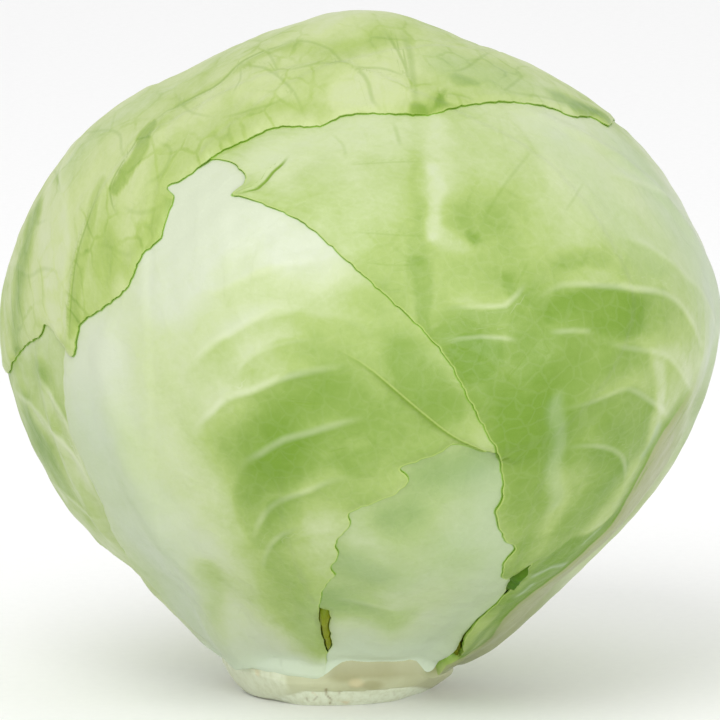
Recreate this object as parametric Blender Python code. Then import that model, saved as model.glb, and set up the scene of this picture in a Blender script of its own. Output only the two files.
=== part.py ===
"""A green cabbage that stands on its cut stem: a dense head wrapped in six outer leaves.

Every leaf is a curved plate that lies on the ones under it. Its outline is drawn on a map of the head
centred on the leaf, filled with triangles, and lifted to an inner and an outer face.

Lengths are in millimetres and become metres where a mesh is made. +Z is up, +X is right and -Y is the
front. The origin is the middle of the stem's flat cut face, which the cabbage stands on.
"""

import math

import bpy
import numpy as np
from mathutils import Vector
from mathutils.geometry import delaunay_2d_cdt

MM = 0.001

# Head: its centre, and its radius from that centre at every PROFILE_STEP degrees up from the stem
HEAD_CENTRE = np.array([6.0, 0.0, 91.1])
PROFILE_STEP = 20.0
RIGHT_RADII = np.array([92.0, 88.6, 83.6, 83.4, 87.6, 92.2, 87.3, 81.4, 80.2, 83.0])
LEFT_RADII = np.array([92.0, 89.0, 84.8, 87.6, 89.8, 89.1, 85.2, 79.4, 80.0, 83.0])
MAP_RADIUS = 86.0
DEPTH_LOSS = 0.04
SWELLS = ((0.8, (3.1, 1.9, -2.6), 0.4), (0.6, (-4.7, 3.3, 4.1), 1.9), (0.4, (6.9, -7.4, 5.2), 3.0))

# Front view that the visible edges are given in: (right, up) from the cut face, looking down a little
VIEW_TILT = math.radians(10.0)

# Leaves
WRAP_DEPTH = 3.2
BASE_SINK = 2.6
BASE_SINK_ANGLES = (25.0, 60.0)
FRONT_TURN = -68.0
FRONT_SPREAD = (16.0, 34.0)
FRONT_SINK = 2.5
SKIN_DEPTH = 1.9
BASE_ANGLE = 20.0
FRONT_BASE_ANGLE = 21.5
GAP = 0.7
HEART_GAP = 0.9
BLADE = 0.9
VEIN_HEIGHT = 0.7
VEIN_HALF_WIDTH = 3.2
VEIN_END_SHARE = 0.35
VEIN_MARGIN = 12.0
VEIN_FORWARD = (0.55, 0.003)
RIB_TIP_SHARE = 0.2
RIB_TAPER = 1.5
EDGE_LIFT = 0.5
EDGE_LIFT_REACH = 7.0
COVER_START = 4.0
COVER_END = 22.0
BARE_START = 3.0
BARE_END = 10.0
FOLD_HEIGHT = 1.5
FOLD_RUN = 2.0
FOLD_REACH = 30.0
FOLD_FADE = 22.0
FOLD_SPREAD = 7.0

# Triangle sizes, and how clear points stay of an edge and of each other
OUTLINE_STEP = 7.0
FILL_STEP = 9.0
FILL_CLEARANCE = 5.6
RIB_STEP = 8.0
RIB_EDGE_CLEARANCE = 3.0
RIB_BARENESS = 0.05
MERGE_DISTANCE = 0.05
BASE_ARC_STEP = 12.0
INNER_ROWS = 16
INNER_COLUMNS = 36

# Stem: (radius, height, share of the head's lean) of each ring from the cut face up, then the shoulder
# that the leaves grow from, which rises at the front, and a flat top
STEM_RINGS = ((22.6, 0.0, 0.0), (24.0, 0.8, 0.1), (26.3, 3.0, 0.4), (28.6, 5.8, 0.8))
STEM_SIDES = 40
STEM_LOBES = ((0.5, 3, 0.7), (0.35, 7, 2.1), (0.2, 11, 4.0))
SHOULDER_ANGLE = 19.2
SHOULDER_RISE = 1.2
SHOULDER_RADIUS = 89.0
SHOULDER_DIP = 2.0
STEM_TOP_RADIUS = 27.0
STEM_TOP = 11.6
HEAD_SEAT = 12.2
HEAD_SEAT_ANGLE = 18.5

# Edges that show from the front, as (right, up) points
# The cap's face stands out this far beyond the skin that such points are placed on
CAP_STANDS_OUT = 3.0
CAP_FREE_EDGE = (
    (-83, 79), (-82, 82), (-80, 85), (-75, 88.5), (-74, 91), (-72, 90), (-66, 83), (-65, 87), (-64, 91),
    (-58.5, 95), (-52, 100.5), (-48, 109), (-44, 113), (-43, 117), (-41, 123.5), (-43, 125.5),
    (-38.5, 128), (-33, 132), (-22, 137.5), (-15.5, 140.5), (-4, 141), (2, 143.5), (16, 144),
    (24, 144), (34, 147), (45, 148), (57, 146), (60.5, 144.5), (67, 144), (69.5, 142.3),
)
RIGHT_FREE_EDGE = (
    (-33, 132), (-26, 131), (-23, 129), (-21.5, 126), (-25, 122.5), (-22, 122), (-16.5, 120),
    (-8, 116), (2.5, 107), (12.5, 98), (21, 90), (27.5, 82), (32, 73.5), (36, 66), (40.5, 57),
    (41, 48.5), (39.5, 45), (42, 38), (44.5, 36), (42, 33), (42, 28), (44, 28.5), (49, 32),
    (47, 29.3), (44.8, 26.4), (43.2, 24), (41.2, 22.2), (36.4, 17.6), (32, 13.7), (29.6, 11.4), (27.5, 9.1),
)
LEFT_FREE_EDGE = (
    (-2, 9), (-4, 19.5), (-2.5, 26.5), (0, 29.5), (-1, 31), (1, 35), (0, 37), (4, 43), (3, 44.5),
    (7, 46.5), (15, 50), (18, 53), (16, 56), (21, 58), (27, 60.5), (29, 62), (38.5, 60),
)
LEFT_OUTER_EDGE = ((-66, 86), (-66.5, 75), (-65, 65), (-58.5, 50), (-49.5, 32.5))
FRONT_RIGHT_EDGE = ((27.9, 10), (31.5, 13.4), (36.4, 17.4), (41.2, 21.4), (44, 28), (48, 42))
FRONT_LEFT_EDGE = ((-4.2, 20.5), (-1.7, 19.7), (-1.4, 15), (-0.9, 10.5))
FAR_LEFT_LOW_EDGE = ((-59.5, 37.5), (-51.5, 32), (-43.5, 25), (-36, 16.5))

# Ribs that show from the front
LEFT_MIDRIB = ((-19, 9), (-30, 22), (-42.5, 40), (-51, 60), (-56, 80), (-54, 97), (-46, 115), (-34, 130))
LEFT_VEINS = (
    ((-48, 84), (-40, 93.5), (-32, 98), (-20.5, 103.5), (-11, 106), (2, 107.5)),
    ((-44, 68), (-37, 78), (-30.5, 84.5), (-26, 89), (-15, 93.5), (-1, 95), (14, 92)),
    ((-41, 48), (-33, 62), (-30.5, 68), (-23.5, 74), (-15, 77), (-3.5, 80), (6, 80)),
    ((-31, 36), (-24, 51), (-22, 57), (-18, 60), (-9, 64.5), (6, 68), (15, 68)),
    ((-24, 24), (-20.5, 37), (-18, 42), (-12, 48), (-3.5, 52.5), (8, 55)),
)
LEFT_FOLD = ((-2.5, 87), (5, 81), (12.5, 75), (21, 66.5), (29, 62))
RIGHT_VEINS = (
    ((86.5, 78), (86, 90), (82, 97), (76, 100.5), (66.5, 99), (52, 100.5), (40, 103)),
    ((88, 91), (86, 103), (78, 111.5), (64, 117), (48, 121)),
    ((83, 68), (80, 80), (75, 85.5), (64, 89.5), (51, 89.5), (40, 88)),
    ((79, 62), (75, 72), (68, 75), (62.5, 72), (53, 70)),
    ((71, 47), (72, 53.5), (69.5, 59), (64, 61), (55.5, 60.5)),
)

# Materials: linear colour and roughness; and the angle past which an edge stays sharp
SHARP_ANGLE = math.radians(50.0)
STEM_LOOK = ((0.51, 0.54, 0.35, 1.0), 0.6)
INNER_LOOK = ((0.46, 0.55, 0.25, 1.0), 0.5)
PALE_LEAF_LOOK = ((0.62, 0.72, 0.42, 1.0), 0.42)
GREEN_LEAF_LOOK = ((0.42, 0.56, 0.22, 1.0), 0.42)
CAP_LEAF_LOOK = ((0.54, 0.66, 0.28, 1.0), 0.45)


# Head and front view

LEAN_UP = HEAD_CENTRE / np.linalg.norm(HEAD_CENTRE)
LEAN_BACK = np.array([0.0, 1.0, 0.0])
LEAN_RIGHT = np.cross(LEAN_BACK, LEAN_UP)
VIEW_RIGHT = np.array([1.0, 0.0, 0.0])
VIEW_UP = np.array([0.0, math.sin(VIEW_TILT), math.cos(VIEW_TILT)])
VIEW_AWAY = np.array([0.0, math.cos(VIEW_TILT), -math.sin(VIEW_TILT)])


def smooth(low, high, value):
    """Rises from 0 at low to 1 at high, level at both ends."""
    share = np.clip((value - low) / (high - low), 0.0, 1.0)
    return share * share * (3.0 - 2.0 * share)


def unit(vectors):
    return vectors / np.linalg.norm(vectors, axis=-1, keepdims=True)


def profile(angles, radii):
    """The smooth curve through radii, which stand PROFILE_STEP degrees apart."""
    slopes = np.gradient(radii)
    slopes[[0, -1]] = 0.0
    place = np.clip(angles / PROFILE_STEP, 0.0, len(radii) - 1.000001)
    low = place.astype(int)
    t = place - low
    return (
        radii[low] * (1 + 2 * t) * (1 - t) ** 2
        + slopes[low] * t * (1 - t) ** 2
        + radii[low + 1] * t * t * (3 - 2 * t)
        + slopes[low + 1] * t * t * (t - 1)
    )


def head_angles(directions):
    """Angle round the stem (0 right, 90 back) and angle up from the stem, both in radians."""
    turn = np.arctan2(directions @ LEAN_BACK, directions @ LEAN_RIGHT)
    rise = np.arccos(np.clip(-(directions @ LEAN_UP), -1.0, 1.0))
    return turn, rise


def head_radius(directions):
    """Radius of the wrapped head: two profiles blended round the stem, with low swells."""
    turn, rise = head_angles(directions)
    share = (1.0 + np.cos(turn)) / 2.0
    degrees = np.degrees(rise)
    radius = share * profile(degrees, RIGHT_RADII) + (1.0 - share) * profile(degrees, LEFT_RADII)
    radius = radius * (1.0 - DEPTH_LOSS * (np.sin(turn) * np.sin(rise)) ** 2)
    for height, waves, phase in SWELLS:
        radius = radius + height * np.sin(directions @ np.array(waves) + phase)
    return radius


def frontness(turn):
    """1 where the front inner leaf grows from the stem, 0 elsewhere round it."""
    apart = np.degrees(np.arccos(np.clip(np.cos(turn - math.radians(FRONT_TURN)), -1.0, 1.0)))
    return 1.0 - smooth(*FRONT_SPREAD, apart)


def heart_radius(directions):
    """Radius that the innermost leaf lies on, sunk where the thick leaf bases need room."""
    turn, rise = head_angles(directions)
    sink = (BASE_SINK + FRONT_SINK * frontness(turn)) * (1.0 - smooth(*BASE_SINK_ANGLES, np.degrees(rise)))
    return head_radius(directions) - WRAP_DEPTH - sink


def skin_radius(directions):
    """Radius of the leaves' outer faces, near enough for placing what shows on them."""
    _, rise = head_angles(directions)
    sink = BASE_SINK * (1.0 - smooth(*BASE_SINK_ANGLES, np.degrees(rise)))
    return head_radius(directions) - SKIN_DEPTH - sink


def around(points):
    """Directions given as (degrees round the stem, degrees up from the stem)."""
    turn, rise = np.radians(np.array(points, dtype=float)).T[:, :, None]
    return np.sin(rise) * (np.cos(turn) * LEAN_RIGHT + np.sin(turn) * LEAN_BACK) - np.cos(rise) * LEAN_UP


def front(points, out=0.0):
    """Directions to points of the front view, on the near side of the head and that far out from its skin."""
    right, up = (np.array(points, dtype=float) - (HEAD_CENTRE @ VIEW_RIGHT, HEAD_CENTRE @ VIEW_UP)).T
    radius = np.full(len(points), MAP_RADIUS)
    for _ in range(6):
        depth = np.sqrt(np.maximum(radius**2 - right**2 - up**2, 0.0))
        directions = unit(np.outer(right, VIEW_RIGHT) + np.outer(up, VIEW_UP) - np.outer(depth, VIEW_AWAY))
        radius = skin_radius(directions) + out
    return directions


def base_arc(first, last, rise=BASE_ANGLE):
    """The end of a leaf at the stem, from one angle round the stem to another."""
    count = max(3, round(abs(last - first) / BASE_ARC_STEP) + 1)
    return around([(turn, rise) for turn in np.linspace(first, last, count)])


# Curves on a flat map


def smooth_curve(points, step, closed=False):
    """Points about step apart on a smooth curve that keeps every point given (centripetal)."""
    if closed:
        points = np.vstack([points[-1:], points, points[:2]])
    else:
        points = np.vstack([2 * points[0] - points[1], points, 2 * points[-1] - points[-2]])
    runs = []
    for p0, p1, p2, p3 in zip(points, points[1:], points[2:], points[3:]):
        k1 = math.sqrt(np.linalg.norm(p1 - p0))
        k2 = k1 + math.sqrt(np.linalg.norm(p2 - p1))
        k3 = k2 + math.sqrt(np.linalg.norm(p3 - p2))
        count = max(1, round(np.linalg.norm(p2 - p1) / step))
        k = np.linspace(k1, k2, count, endpoint=False)[:, None]
        a1 = (k1 - k) / k1 * p0 + k / k1 * p1
        a2 = (k2 - k) / (k2 - k1) * p1 + (k - k1) / (k2 - k1) * p2
        a3 = (k3 - k) / (k3 - k2) * p2 + (k - k2) / (k3 - k2) * p3
        b1 = (k2 - k) / k2 * a1 + k / k2 * a2
        b2 = (k3 - k) / (k3 - k1) * a2 + (k - k1) / (k3 - k1) * a3
        runs.append((k2 - k) / (k2 - k1) * b1 + (k - k1) / (k2 - k1) * b2)
    if not closed:
        runs.append(points[-2:-1])
    return np.vstack(runs)


def line_length(line):
    return np.linalg.norm(np.diff(line, axis=0), axis=1).sum()


def to_line(places, line):
    """Distance to a line of points, which side (+1 left of its run), and how far along it."""
    start, run = line[:-1], np.diff(line, axis=0)
    length = np.linalg.norm(run, axis=1)
    offset = places[:, None, :] - start[None, :, :]
    share = np.clip((offset * run).sum(axis=2) / length**2, 0.0, 1.0)
    gap = offset - share[:, :, None] * run
    distance = np.linalg.norm(gap, axis=2)
    nearest = distance.argmin(axis=1)
    rows = np.arange(len(places))
    cross = run[nearest, 0] * gap[rows, nearest, 1] - run[nearest, 1] * gap[rows, nearest, 0]
    before = np.concatenate([[0.0], np.cumsum(length)[:-1]])
    along = before[nearest] + share[rows, nearest] * length[nearest]
    return distance[rows, nearest], np.where(cross >= 0.0, 1.0, -1.0), along


def inside(places, outline):
    """Which places lie inside a closed outline, by counting crossings."""
    x, y = places[:, 0, None], places[:, 1, None]
    x1, y1 = outline.T
    x2, y2 = np.roll(outline, -1, axis=0).T
    rise = np.where(y2 == y1, 1e-12, y2 - y1)
    crossed = ((y1 > y) != (y2 > y)) & (x < (x2 - x1) * (y - y1) / rise + x1)
    return crossed.sum(axis=1) % 2 == 1


class Leaf:
    """One leaf: its map, outline, ribs and fold. The map keeps distances from its centre true."""

    def __init__(self, name, look, centre, outline, midrib, rib, base_extra, veins=(), fold=None):
        self.name = name
        self.look = look
        self.centre = around([centre])[0]
        self.map_up = unit(LEAN_UP - (LEAN_UP @ self.centre) * self.centre)
        self.map_right = np.cross(self.map_up, self.centre)
        self.outline = smooth_curve(self.to_map(outline), OUTLINE_STEP, closed=True)
        self.midrib = smooth_curve(self.to_map(midrib), RIB_STEP)
        self.rib_height, self.rib_half_width = rib
        self.base_extra, self.base_reach = base_extra
        self.veins = [smooth_curve(self.to_map(vein), RIB_STEP) for vein in veins]
        self.fold = None if fold is None else smooth_curve(self.to_map(fold), RIB_STEP)
        self.above = []
        self.below = []

    def to_map(self, directions):
        angle = np.arccos(np.clip(directions @ self.centre, -1.0, 1.0))
        flat = np.stack([directions @ self.map_right, directions @ self.map_up], axis=1)
        return flat * (MAP_RADIUS * angle / np.maximum(np.sin(angle), 1e-9))[:, None]

    def from_map(self, places):
        length = np.linalg.norm(places, axis=1, keepdims=True)
        angle = length / MAP_RADIUS
        sideways = places[:, :1] * self.map_right + places[:, 1:] * self.map_up
        return np.cos(angle) * self.centre + np.sin(angle) * sideways / np.maximum(length, 1e-9)

    def edge_distance(self, directions):
        """Distance to the outline, below 0 inside the leaf."""
        places = self.to_map(directions)
        loop = np.vstack([self.outline, self.outline[:1]])
        distance = to_line(places, loop)[0]
        return np.where(inside(places, self.outline), -distance, distance)

    def bareness(self, directions):
        """1 where no leaf lies above this one, 0 under one."""
        bare = np.ones(len(directions))
        for leaf in self.above:
            bare = bare * smooth(BARE_START, BARE_END, leaf.edge_distance(directions))
        return bare

    def relief(self, directions):
        """Height of the midrib, which thins towards the tip, and of the side veins."""
        places = self.to_map(directions)
        distance, _, along = to_line(places, self.midrib)
        size = 1.0 - (1.0 - RIB_TIP_SHARE) * along / line_length(self.midrib)
        slope = 1.0 - smooth(0.0, 1.0, distance / (self.rib_half_width * size))
        height = self.rib_height * size**RIB_TAPER * slope
        for vein in self.veins:
            distance, _, along = to_line(places, vein)
            size = 1.0 - (1.0 - VEIN_END_SHARE) * along / line_length(vein)
            slope = 1.0 - smooth(0.0, VEIN_HALF_WIDTH, distance)
            height = np.maximum(height, VEIN_HEIGHT * size * slope)
        return height

    def thickness(self, directions):
        places = self.to_map(directions)
        from_base = np.linalg.norm(places - self.midrib[0], axis=1)
        base = self.base_extra * (1.0 - smooth(0.0, self.base_reach, from_base))
        return BLADE + base + self.relief(directions) * self.bareness(directions)

    def lift(self, directions, spread=0.0):
        """How far the leaf stands off what it lies on: at its free edge and along its fold.

        The fold's step may be spread, for a leaf that lies over it.
        """
        edge = 1.0 - smooth(0.0, EDGE_LIFT_REACH, -self.edge_distance(directions))
        lift = EDGE_LIFT * edge * self.bareness(directions)
        if self.fold is not None:
            distance, side, along = to_line(self.to_map(directions), self.fold)
            step = smooth(-FOLD_RUN - spread, -spread, side * distance)
            reach = 1.0 - smooth(0.0, FOLD_REACH, distance)
            lift = lift + FOLD_HEIGHT * step * reach * smooth(0.0, FOLD_FADE, along)
        return lift

    def inner_radius(self, directions):
        radius = heart_radius(directions)
        for leaf in self.below:
            cover = 1.0 - smooth(COVER_START, COVER_END, leaf.edge_distance(directions))
            radius = radius + (leaf.thickness(directions) + leaf.lift(directions, FOLD_SPREAD) + GAP) * cover
        return radius + self.lift(directions)

    def add_side_veins(self, shares, sides):
        """Veins that leave the midrib at shares of its length and bend forward on their way to the edge."""
        run = unit(np.gradient(self.midrib, axis=0))
        left = np.stack([-run[:, 1], run[:, 0]], axis=1)
        out = np.arange(0.0, 2.0 * MAP_RADIUS, RIB_STEP)[:, None]
        forward = VEIN_FORWARD[0] * out + VEIN_FORWARD[1] * out**2
        for share in shares:
            root = round(share * (len(self.midrib) - 1))
            for side in sides:
                vein = self.midrib[root] + side * out * left[root] + forward * run[root]
                room = np.where(inside(vein, self.outline), to_line(vein, self.outline)[0], 0.0)
                ends = np.flatnonzero(room < VEIN_MARGIN)
                self.veins.append(vein[: ends[0]] if len(ends) else vein)

    def rib_lines(self):
        """Lines of map points that the triangles follow: ribs with their feet, and the fold."""
        lines = []
        for share in (-1.0, -0.5, 0.0, 0.5, 1.0):
            lines.append(beside(self.midrib, share * self.rib_half_width, taper=RIB_TIP_SHARE))
        for vein in self.veins:
            for share in (-1.0, 0.0, 1.0):
                lines.append(beside(vein, share * VEIN_HALF_WIDTH))
        if self.fold is not None:
            lines.append(self.fold)
            lines.append(beside(self.fold, -FOLD_RUN))
        return lines


def beside(line, distance, taper=1.0):
    """A line a distance to the left of another, which may close in on it towards its end."""
    run = np.gradient(line, axis=0)
    left = unit(np.stack([-run[:, 1], run[:, 0]], axis=1))
    share = np.linspace(1.0, taper, len(line))[:, None]
    return line + left * distance * share


# Leaves, from the inside out


def front_inner_leaf():
    hidden = [(52, 58), (45, 76), (27, 87), (6, 85), (-9, 70), (-14, 50), (-10, 32)]
    base = base_arc(-100, -50, FRONT_BASE_ANGLE)
    outline = np.vstack([base, front(FRONT_RIGHT_EDGE), front(hidden), front(FRONT_LEFT_EDGE)])
    midrib = front([(12, 9), (17, 30), (19, 50), (17, 70)])
    rib, base_extra = (0.8, 9.0), (1.2, 40.0)
    return Leaf("leaf_front_inner", PALE_LEAF_LOOK, (-68, 60), outline, midrib, rib, base_extra)


def back_left_leaf():
    left = [(206, 30), (211, 45), (206, 66), (190, 86)]
    right = [(162, 98), (136, 96), (120, 80), (114, 58), (122, 36)]
    midrib = around([(162, 21), (158, 50), (151, 75), (151, 94)])
    outline = np.vstack([base_arc(136, 196), around(left), around(right)])
    rib, base_extra = (2.0, 8.0), (1.6, 40.0)
    return Leaf("leaf_back_left", GREEN_LEAF_LOOK, (150, 60), outline, midrib, rib, base_extra)


def far_left_leaf():
    left = [(222, 36), (232, 62), (234, 92), (222, 122), (200, 138)]
    right = [(172, 136), (152, 118), (147, 95), (160, 72)]
    midrib = around([(205, 21), (210, 48), (206, 78), (198, 108), (188, 130)])
    outline = np.vstack([base_arc(194, 219), around(left), around(right), front(FAR_LEFT_LOW_EDGE)])
    rib, base_extra = (1.8, 7.0), (1.4, 36.0)
    return Leaf("leaf_far_left", GREEN_LEAF_LOOK, (185, 80), outline, midrib, rib, base_extra)


def left_leaf():
    right = around([(-53, 84), (-40, 104), (-45, 130), (-75, 150)])
    left = around([(-108, 158), (-136, 150), (-150, 132), (-150, 112)])
    foot = around([(-156, 33), (-150, 25)])
    base = base_arc(-145, -98)
    outline = np.vstack([base, front(LEFT_FREE_EDGE), right, left, front(LEFT_OUTER_EDGE), foot])
    veins = [front(vein) for vein in LEFT_VEINS]
    rib, base_extra = (2.6, 14.0), (1.6, 40.0)
    fold = front(LEFT_FOLD)
    return Leaf(
        "leaf_left", PALE_LEAF_LOOK, (-108, 92), outline, front(LEFT_MIDRIB), rib, base_extra, veins, fold
    )


def right_leaf():
    back = [(52, 32), (66, 55), (72, 88), (62, 120), (34, 148)]
    top = [(-10, 162), (-62, 166), (-104, 160), (-126, 146)]
    midrib = around([(2, 21), (0, 45), (-3, 75), (-6, 100), (-22, 130), (-55, 150)])
    outline = np.vstack([base_arc(-30, 40), around(back), around(top), front(RIGHT_FREE_EDGE)])
    veins = [front(vein) for vein in RIGHT_VEINS]
    rib, base_extra = (3.0, 12.0), (2.6, 50.0)
    leaf = Leaf("leaf_right", GREEN_LEAF_LOOK, (-22, 100), outline, midrib, rib, base_extra, veins)
    leaf.add_side_veins((0.14, 0.3, 0.46, 0.62), (-1.0,))
    return leaf


def cap_leaf():
    left = [(140, 42), (154, 60), (166, 76)]
    right = [(26, 126), (38, 102), (46, 70), (49, 44)]
    midrib = around([(86, 21), (91, 55), (97, 95), (104, 135), (118, 168)])
    free = front(CAP_FREE_EDGE, CAP_STANDS_OUT)
    outline = np.vstack([base_arc(46, 134), around(left), free, around(right)])
    rib, base_extra = (3.2, 12.0), (2.0, 40.0)
    leaf = Leaf("leaf_cap", CAP_LEAF_LOOK, (100, 125), outline, midrib, rib, base_extra)
    leaf.add_side_veins((0.1, 0.26, 0.43, 0.6), (1.0, -1.0))
    return leaf


# Meshes


def add_object(name, look, vertices, faces):
    mesh = bpy.data.meshes.new(name)
    mesh.from_pydata((np.asarray(vertices) * MM).tolist(), [], faces)
    mesh.validate()
    mesh.shade_smooth()
    mesh.set_sharp_from_angle(angle=SHARP_ANGLE)
    material = bpy.data.materials.new(name)
    material.use_nodes = True
    shader = material.node_tree.nodes["Principled BSDF"]
    shader.inputs["Base Color"].default_value = look[0]
    shader.inputs["Roughness"].default_value = look[1]
    shader.inputs["Metallic"].default_value = 0.0
    mesh.materials.append(material)
    thing = bpy.data.objects.new(name, mesh)
    bpy.context.scene.collection.objects.link(thing)
    return thing


def fill_points(leaf, fixed):
    """A triangular grid of map points inside the outline, clear of the points already there."""
    low, high = leaf.outline.min(axis=0), leaf.outline.max(axis=0)
    rows = np.arange(low[1], high[1], FILL_STEP * math.sqrt(3.0) / 2.0)
    columns = np.arange(low[0], high[0], FILL_STEP)
    x, y = np.meshgrid(columns, rows)
    x[1::2] += FILL_STEP / 2.0
    grid = np.stack([x.ravel(), y.ravel()], axis=1)
    grid = grid[inside(grid, leaf.outline)]
    spacing = np.linalg.norm(grid[:, None, :] - fixed[None, :, :], axis=2).min(axis=1)
    return grid[spacing > FILL_CLEARANCE]


def leaf_triangles(leaf):
    """Map points and triangles that fill the outline and follow the ribs where they show."""
    points = [leaf.outline]
    edges = []
    count = len(leaf.outline)
    for line in leaf.rib_lines():
        directions = leaf.from_map(line)
        clear = leaf.edge_distance(directions) < -RIB_EDGE_CLEARANCE
        keep = clear & (leaf.bareness(directions) > RIB_BARENESS)
        numbers = np.where(keep, count + np.cumsum(keep) - 1, -1)
        edges += [(int(a), int(b)) for a, b in zip(numbers, numbers[1:]) if a >= 0 and b >= 0]
        points.append(line[keep])
        count += int(keep.sum())
    fixed = np.vstack(points)
    points = np.vstack([fixed, fill_points(leaf, fixed)])
    loop = list(range(len(leaf.outline)))
    flat = [Vector((float(x), float(y))) for x, y in points]
    found, _, triangles, _, _, _ = delaunay_2d_cdt(flat, edges, [loop], 1, MERGE_DISTANCE)
    return np.array([tuple(place) for place in found]), [list(triangle) for triangle in triangles]


def build_leaf(leaf):
    """Inner and outer face on the same triangles, joined by a rim round the outline."""
    places, triangles = leaf_triangles(leaf)
    directions = leaf.from_map(places)
    inner = leaf.inner_radius(directions)
    outer = inner + leaf.thickness(directions)
    faces_out_and_in = [radius[:, None] * directions for radius in (outer, inner)]
    vertices = HEAD_CENTRE + np.vstack(faces_out_and_in)
    count = len(places)
    sides = {(a, b) for a, b, c in triangles for a, b in ((a, b), (b, c), (c, a))}
    rim = [(a, b) for a, b in sides if (b, a) not in sides]
    faces = [list(triangle) for triangle in triangles]
    faces += [[count + c, count + b, count + a] for a, b, c in triangles]
    for a, b in sorted(rim):
        faces += [[b, a, count + a], [b, count + a, count + b]]
    return add_object(leaf.name, leaf.look, vertices, faces)


def build_inner_head():
    """The packed inner leaves: the heart's surface less the gap, cut off just above the stem."""
    rises = np.linspace(HEAD_SEAT_ANGLE, 180.0, INNER_ROWS + 1)[:-1]
    turns = np.arange(INNER_COLUMNS) * 360.0 / INNER_COLUMNS
    directions = around([(turn, rise) for rise in rises for turn in turns])
    seat_radius = (np.linalg.norm(HEAD_CENTRE) - HEAD_SEAT) / -(directions @ LEAN_UP)
    lowest = np.arange(len(directions)) < INNER_COLUMNS
    radius = heart_radius(directions) - HEART_GAP
    radius = np.where(lowest, np.minimum(radius, seat_radius), radius)
    vertices = HEAD_CENTRE + radius[:, None] * directions
    top = around([(0.0, 180.0)])
    top_vertex = HEAD_CENTRE + (heart_radius(top) - HEART_GAP)[:, None] * top
    seat = vertices[:INNER_COLUMNS].mean(axis=0)
    vertices = np.vstack([vertices, top_vertex, seat])
    top_number = len(vertices) - 2
    faces = []
    for row in range(INNER_ROWS):
        for column in range(INNER_COLUMNS):
            a = row * INNER_COLUMNS + column
            b = row * INNER_COLUMNS + (column + 1) % INNER_COLUMNS
            if row == INNER_ROWS - 1:
                faces.append([a, b, top_number])
            else:
                faces += [[a, b, b + INNER_COLUMNS], [a, b + INNER_COLUMNS, a + INNER_COLUMNS]]
            if row == 0:
                faces.append([b, a, top_number + 1])
    return add_object("inner_head", INNER_LOOK, vertices, faces)


def stem_rings():
    """The stem's rings of points, from the edge of the cut face to the edge of the flat top."""
    turns = np.arange(STEM_SIDES) * 2.0 * math.pi / STEM_SIDES
    lobes = sum(size * np.sin(number * turns + phase) for size, number, phase in STEM_LOBES)
    rings = []
    for radius, height, share in STEM_RINGS:
        right = unit(VIEW_RIGHT + share * (LEAN_RIGHT - VIEW_RIGHT))
        middle = height * (share * LEAN_UP + (1.0 - share) * np.array([0.0, 0.0, 1.0]))
        spokes = np.outer(np.cos(turns), right) + np.outer(np.sin(turns), LEAN_BACK)
        rings.append(middle + (radius + lobes)[:, None] * spokes)
    front_share = frontness(turns)
    shoulder = around(np.stack([np.degrees(turns), SHOULDER_ANGLE + SHOULDER_RISE * front_share], axis=1))
    rings.append(HEAD_CENTRE + (SHOULDER_RADIUS - SHOULDER_DIP * front_share)[:, None] * shoulder)
    rings.append(HEAD_CENTRE + heart_radius(shoulder)[:, None] * shoulder)
    spokes = np.outer(np.cos(turns), LEAN_RIGHT) + np.outer(np.sin(turns), LEAN_BACK)
    rings.append(STEM_TOP * LEAN_UP + STEM_TOP_RADIUS * spokes)
    return rings


def build_stem():
    """The rings joined side to side, closed by the cut face below and the flat top above."""
    rings = stem_rings()
    vertices = np.vstack(rings + [[0.0, 0.0, 0.0], STEM_TOP * LEAN_UP])
    foot, top = len(vertices) - 2, len(vertices) - 1
    last = (len(rings) - 1) * STEM_SIDES
    faces = []
    for side in range(STEM_SIDES):
        after = (side + 1) % STEM_SIDES
        faces.append([after, side, foot])
        faces.append([last + side, last + after, top])
        for ring in range(len(rings) - 1):
            a, b = ring * STEM_SIDES + side, ring * STEM_SIDES + after
            faces += [[a, b, b + STEM_SIDES], [a, b + STEM_SIDES, a + STEM_SIDES]]
    return add_object("stem", STEM_LOOK, vertices, faces)


def main():
    for thing in list(bpy.data.objects):
        bpy.data.objects.remove(thing, do_unlink=True)
    leaves = [front_inner_leaf(), back_left_leaf(), far_left_leaf(), left_leaf(), right_leaf(), cap_leaf()]
    for number, leaf in enumerate(leaves):
        leaf.below = leaves[:number]
        leaf.above = leaves[number + 1:]
    build_stem()
    build_inner_head()
    for leaf in leaves:
        build_leaf(leaf)


main()
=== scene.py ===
"""Fine leaves, stem, finishes, light and camera for a green cabbage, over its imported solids.

Every leaf is worked out again on a fine grid by the same formulas as its solid: its outline is drawn on a
map of the head centred on the leaf, and the grid inside it is lifted to an inner and an outer face. The
marks of the real leaves, such as veins, creases and green patches, are named lines that are measured on
the same maps and carried to the materials as attributes.

Lengths are in millimetres and become metres where a mesh is made. +Z is up, +X is right and -Y is the
front. The origin is the middle of the stem's flat cut face, which the cabbage stands on.
"""

import math

import bpy
import numpy as np
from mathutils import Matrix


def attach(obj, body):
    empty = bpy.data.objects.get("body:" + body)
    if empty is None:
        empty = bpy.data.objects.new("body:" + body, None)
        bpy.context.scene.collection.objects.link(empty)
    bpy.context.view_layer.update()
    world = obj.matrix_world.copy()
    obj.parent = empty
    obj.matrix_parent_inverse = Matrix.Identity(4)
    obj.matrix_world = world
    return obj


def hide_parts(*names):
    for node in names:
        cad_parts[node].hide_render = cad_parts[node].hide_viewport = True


bl_info = {
    "name": "Green cabbage",
    "version": (1, 0, 0),
    "blender": (4, 5, 0),
    "location": "3D View > Sidebar > Cabbage",
    "description": "Builds the leaves, head, stem and studio of a green cabbage",
    "category": "Object",
}

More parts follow.
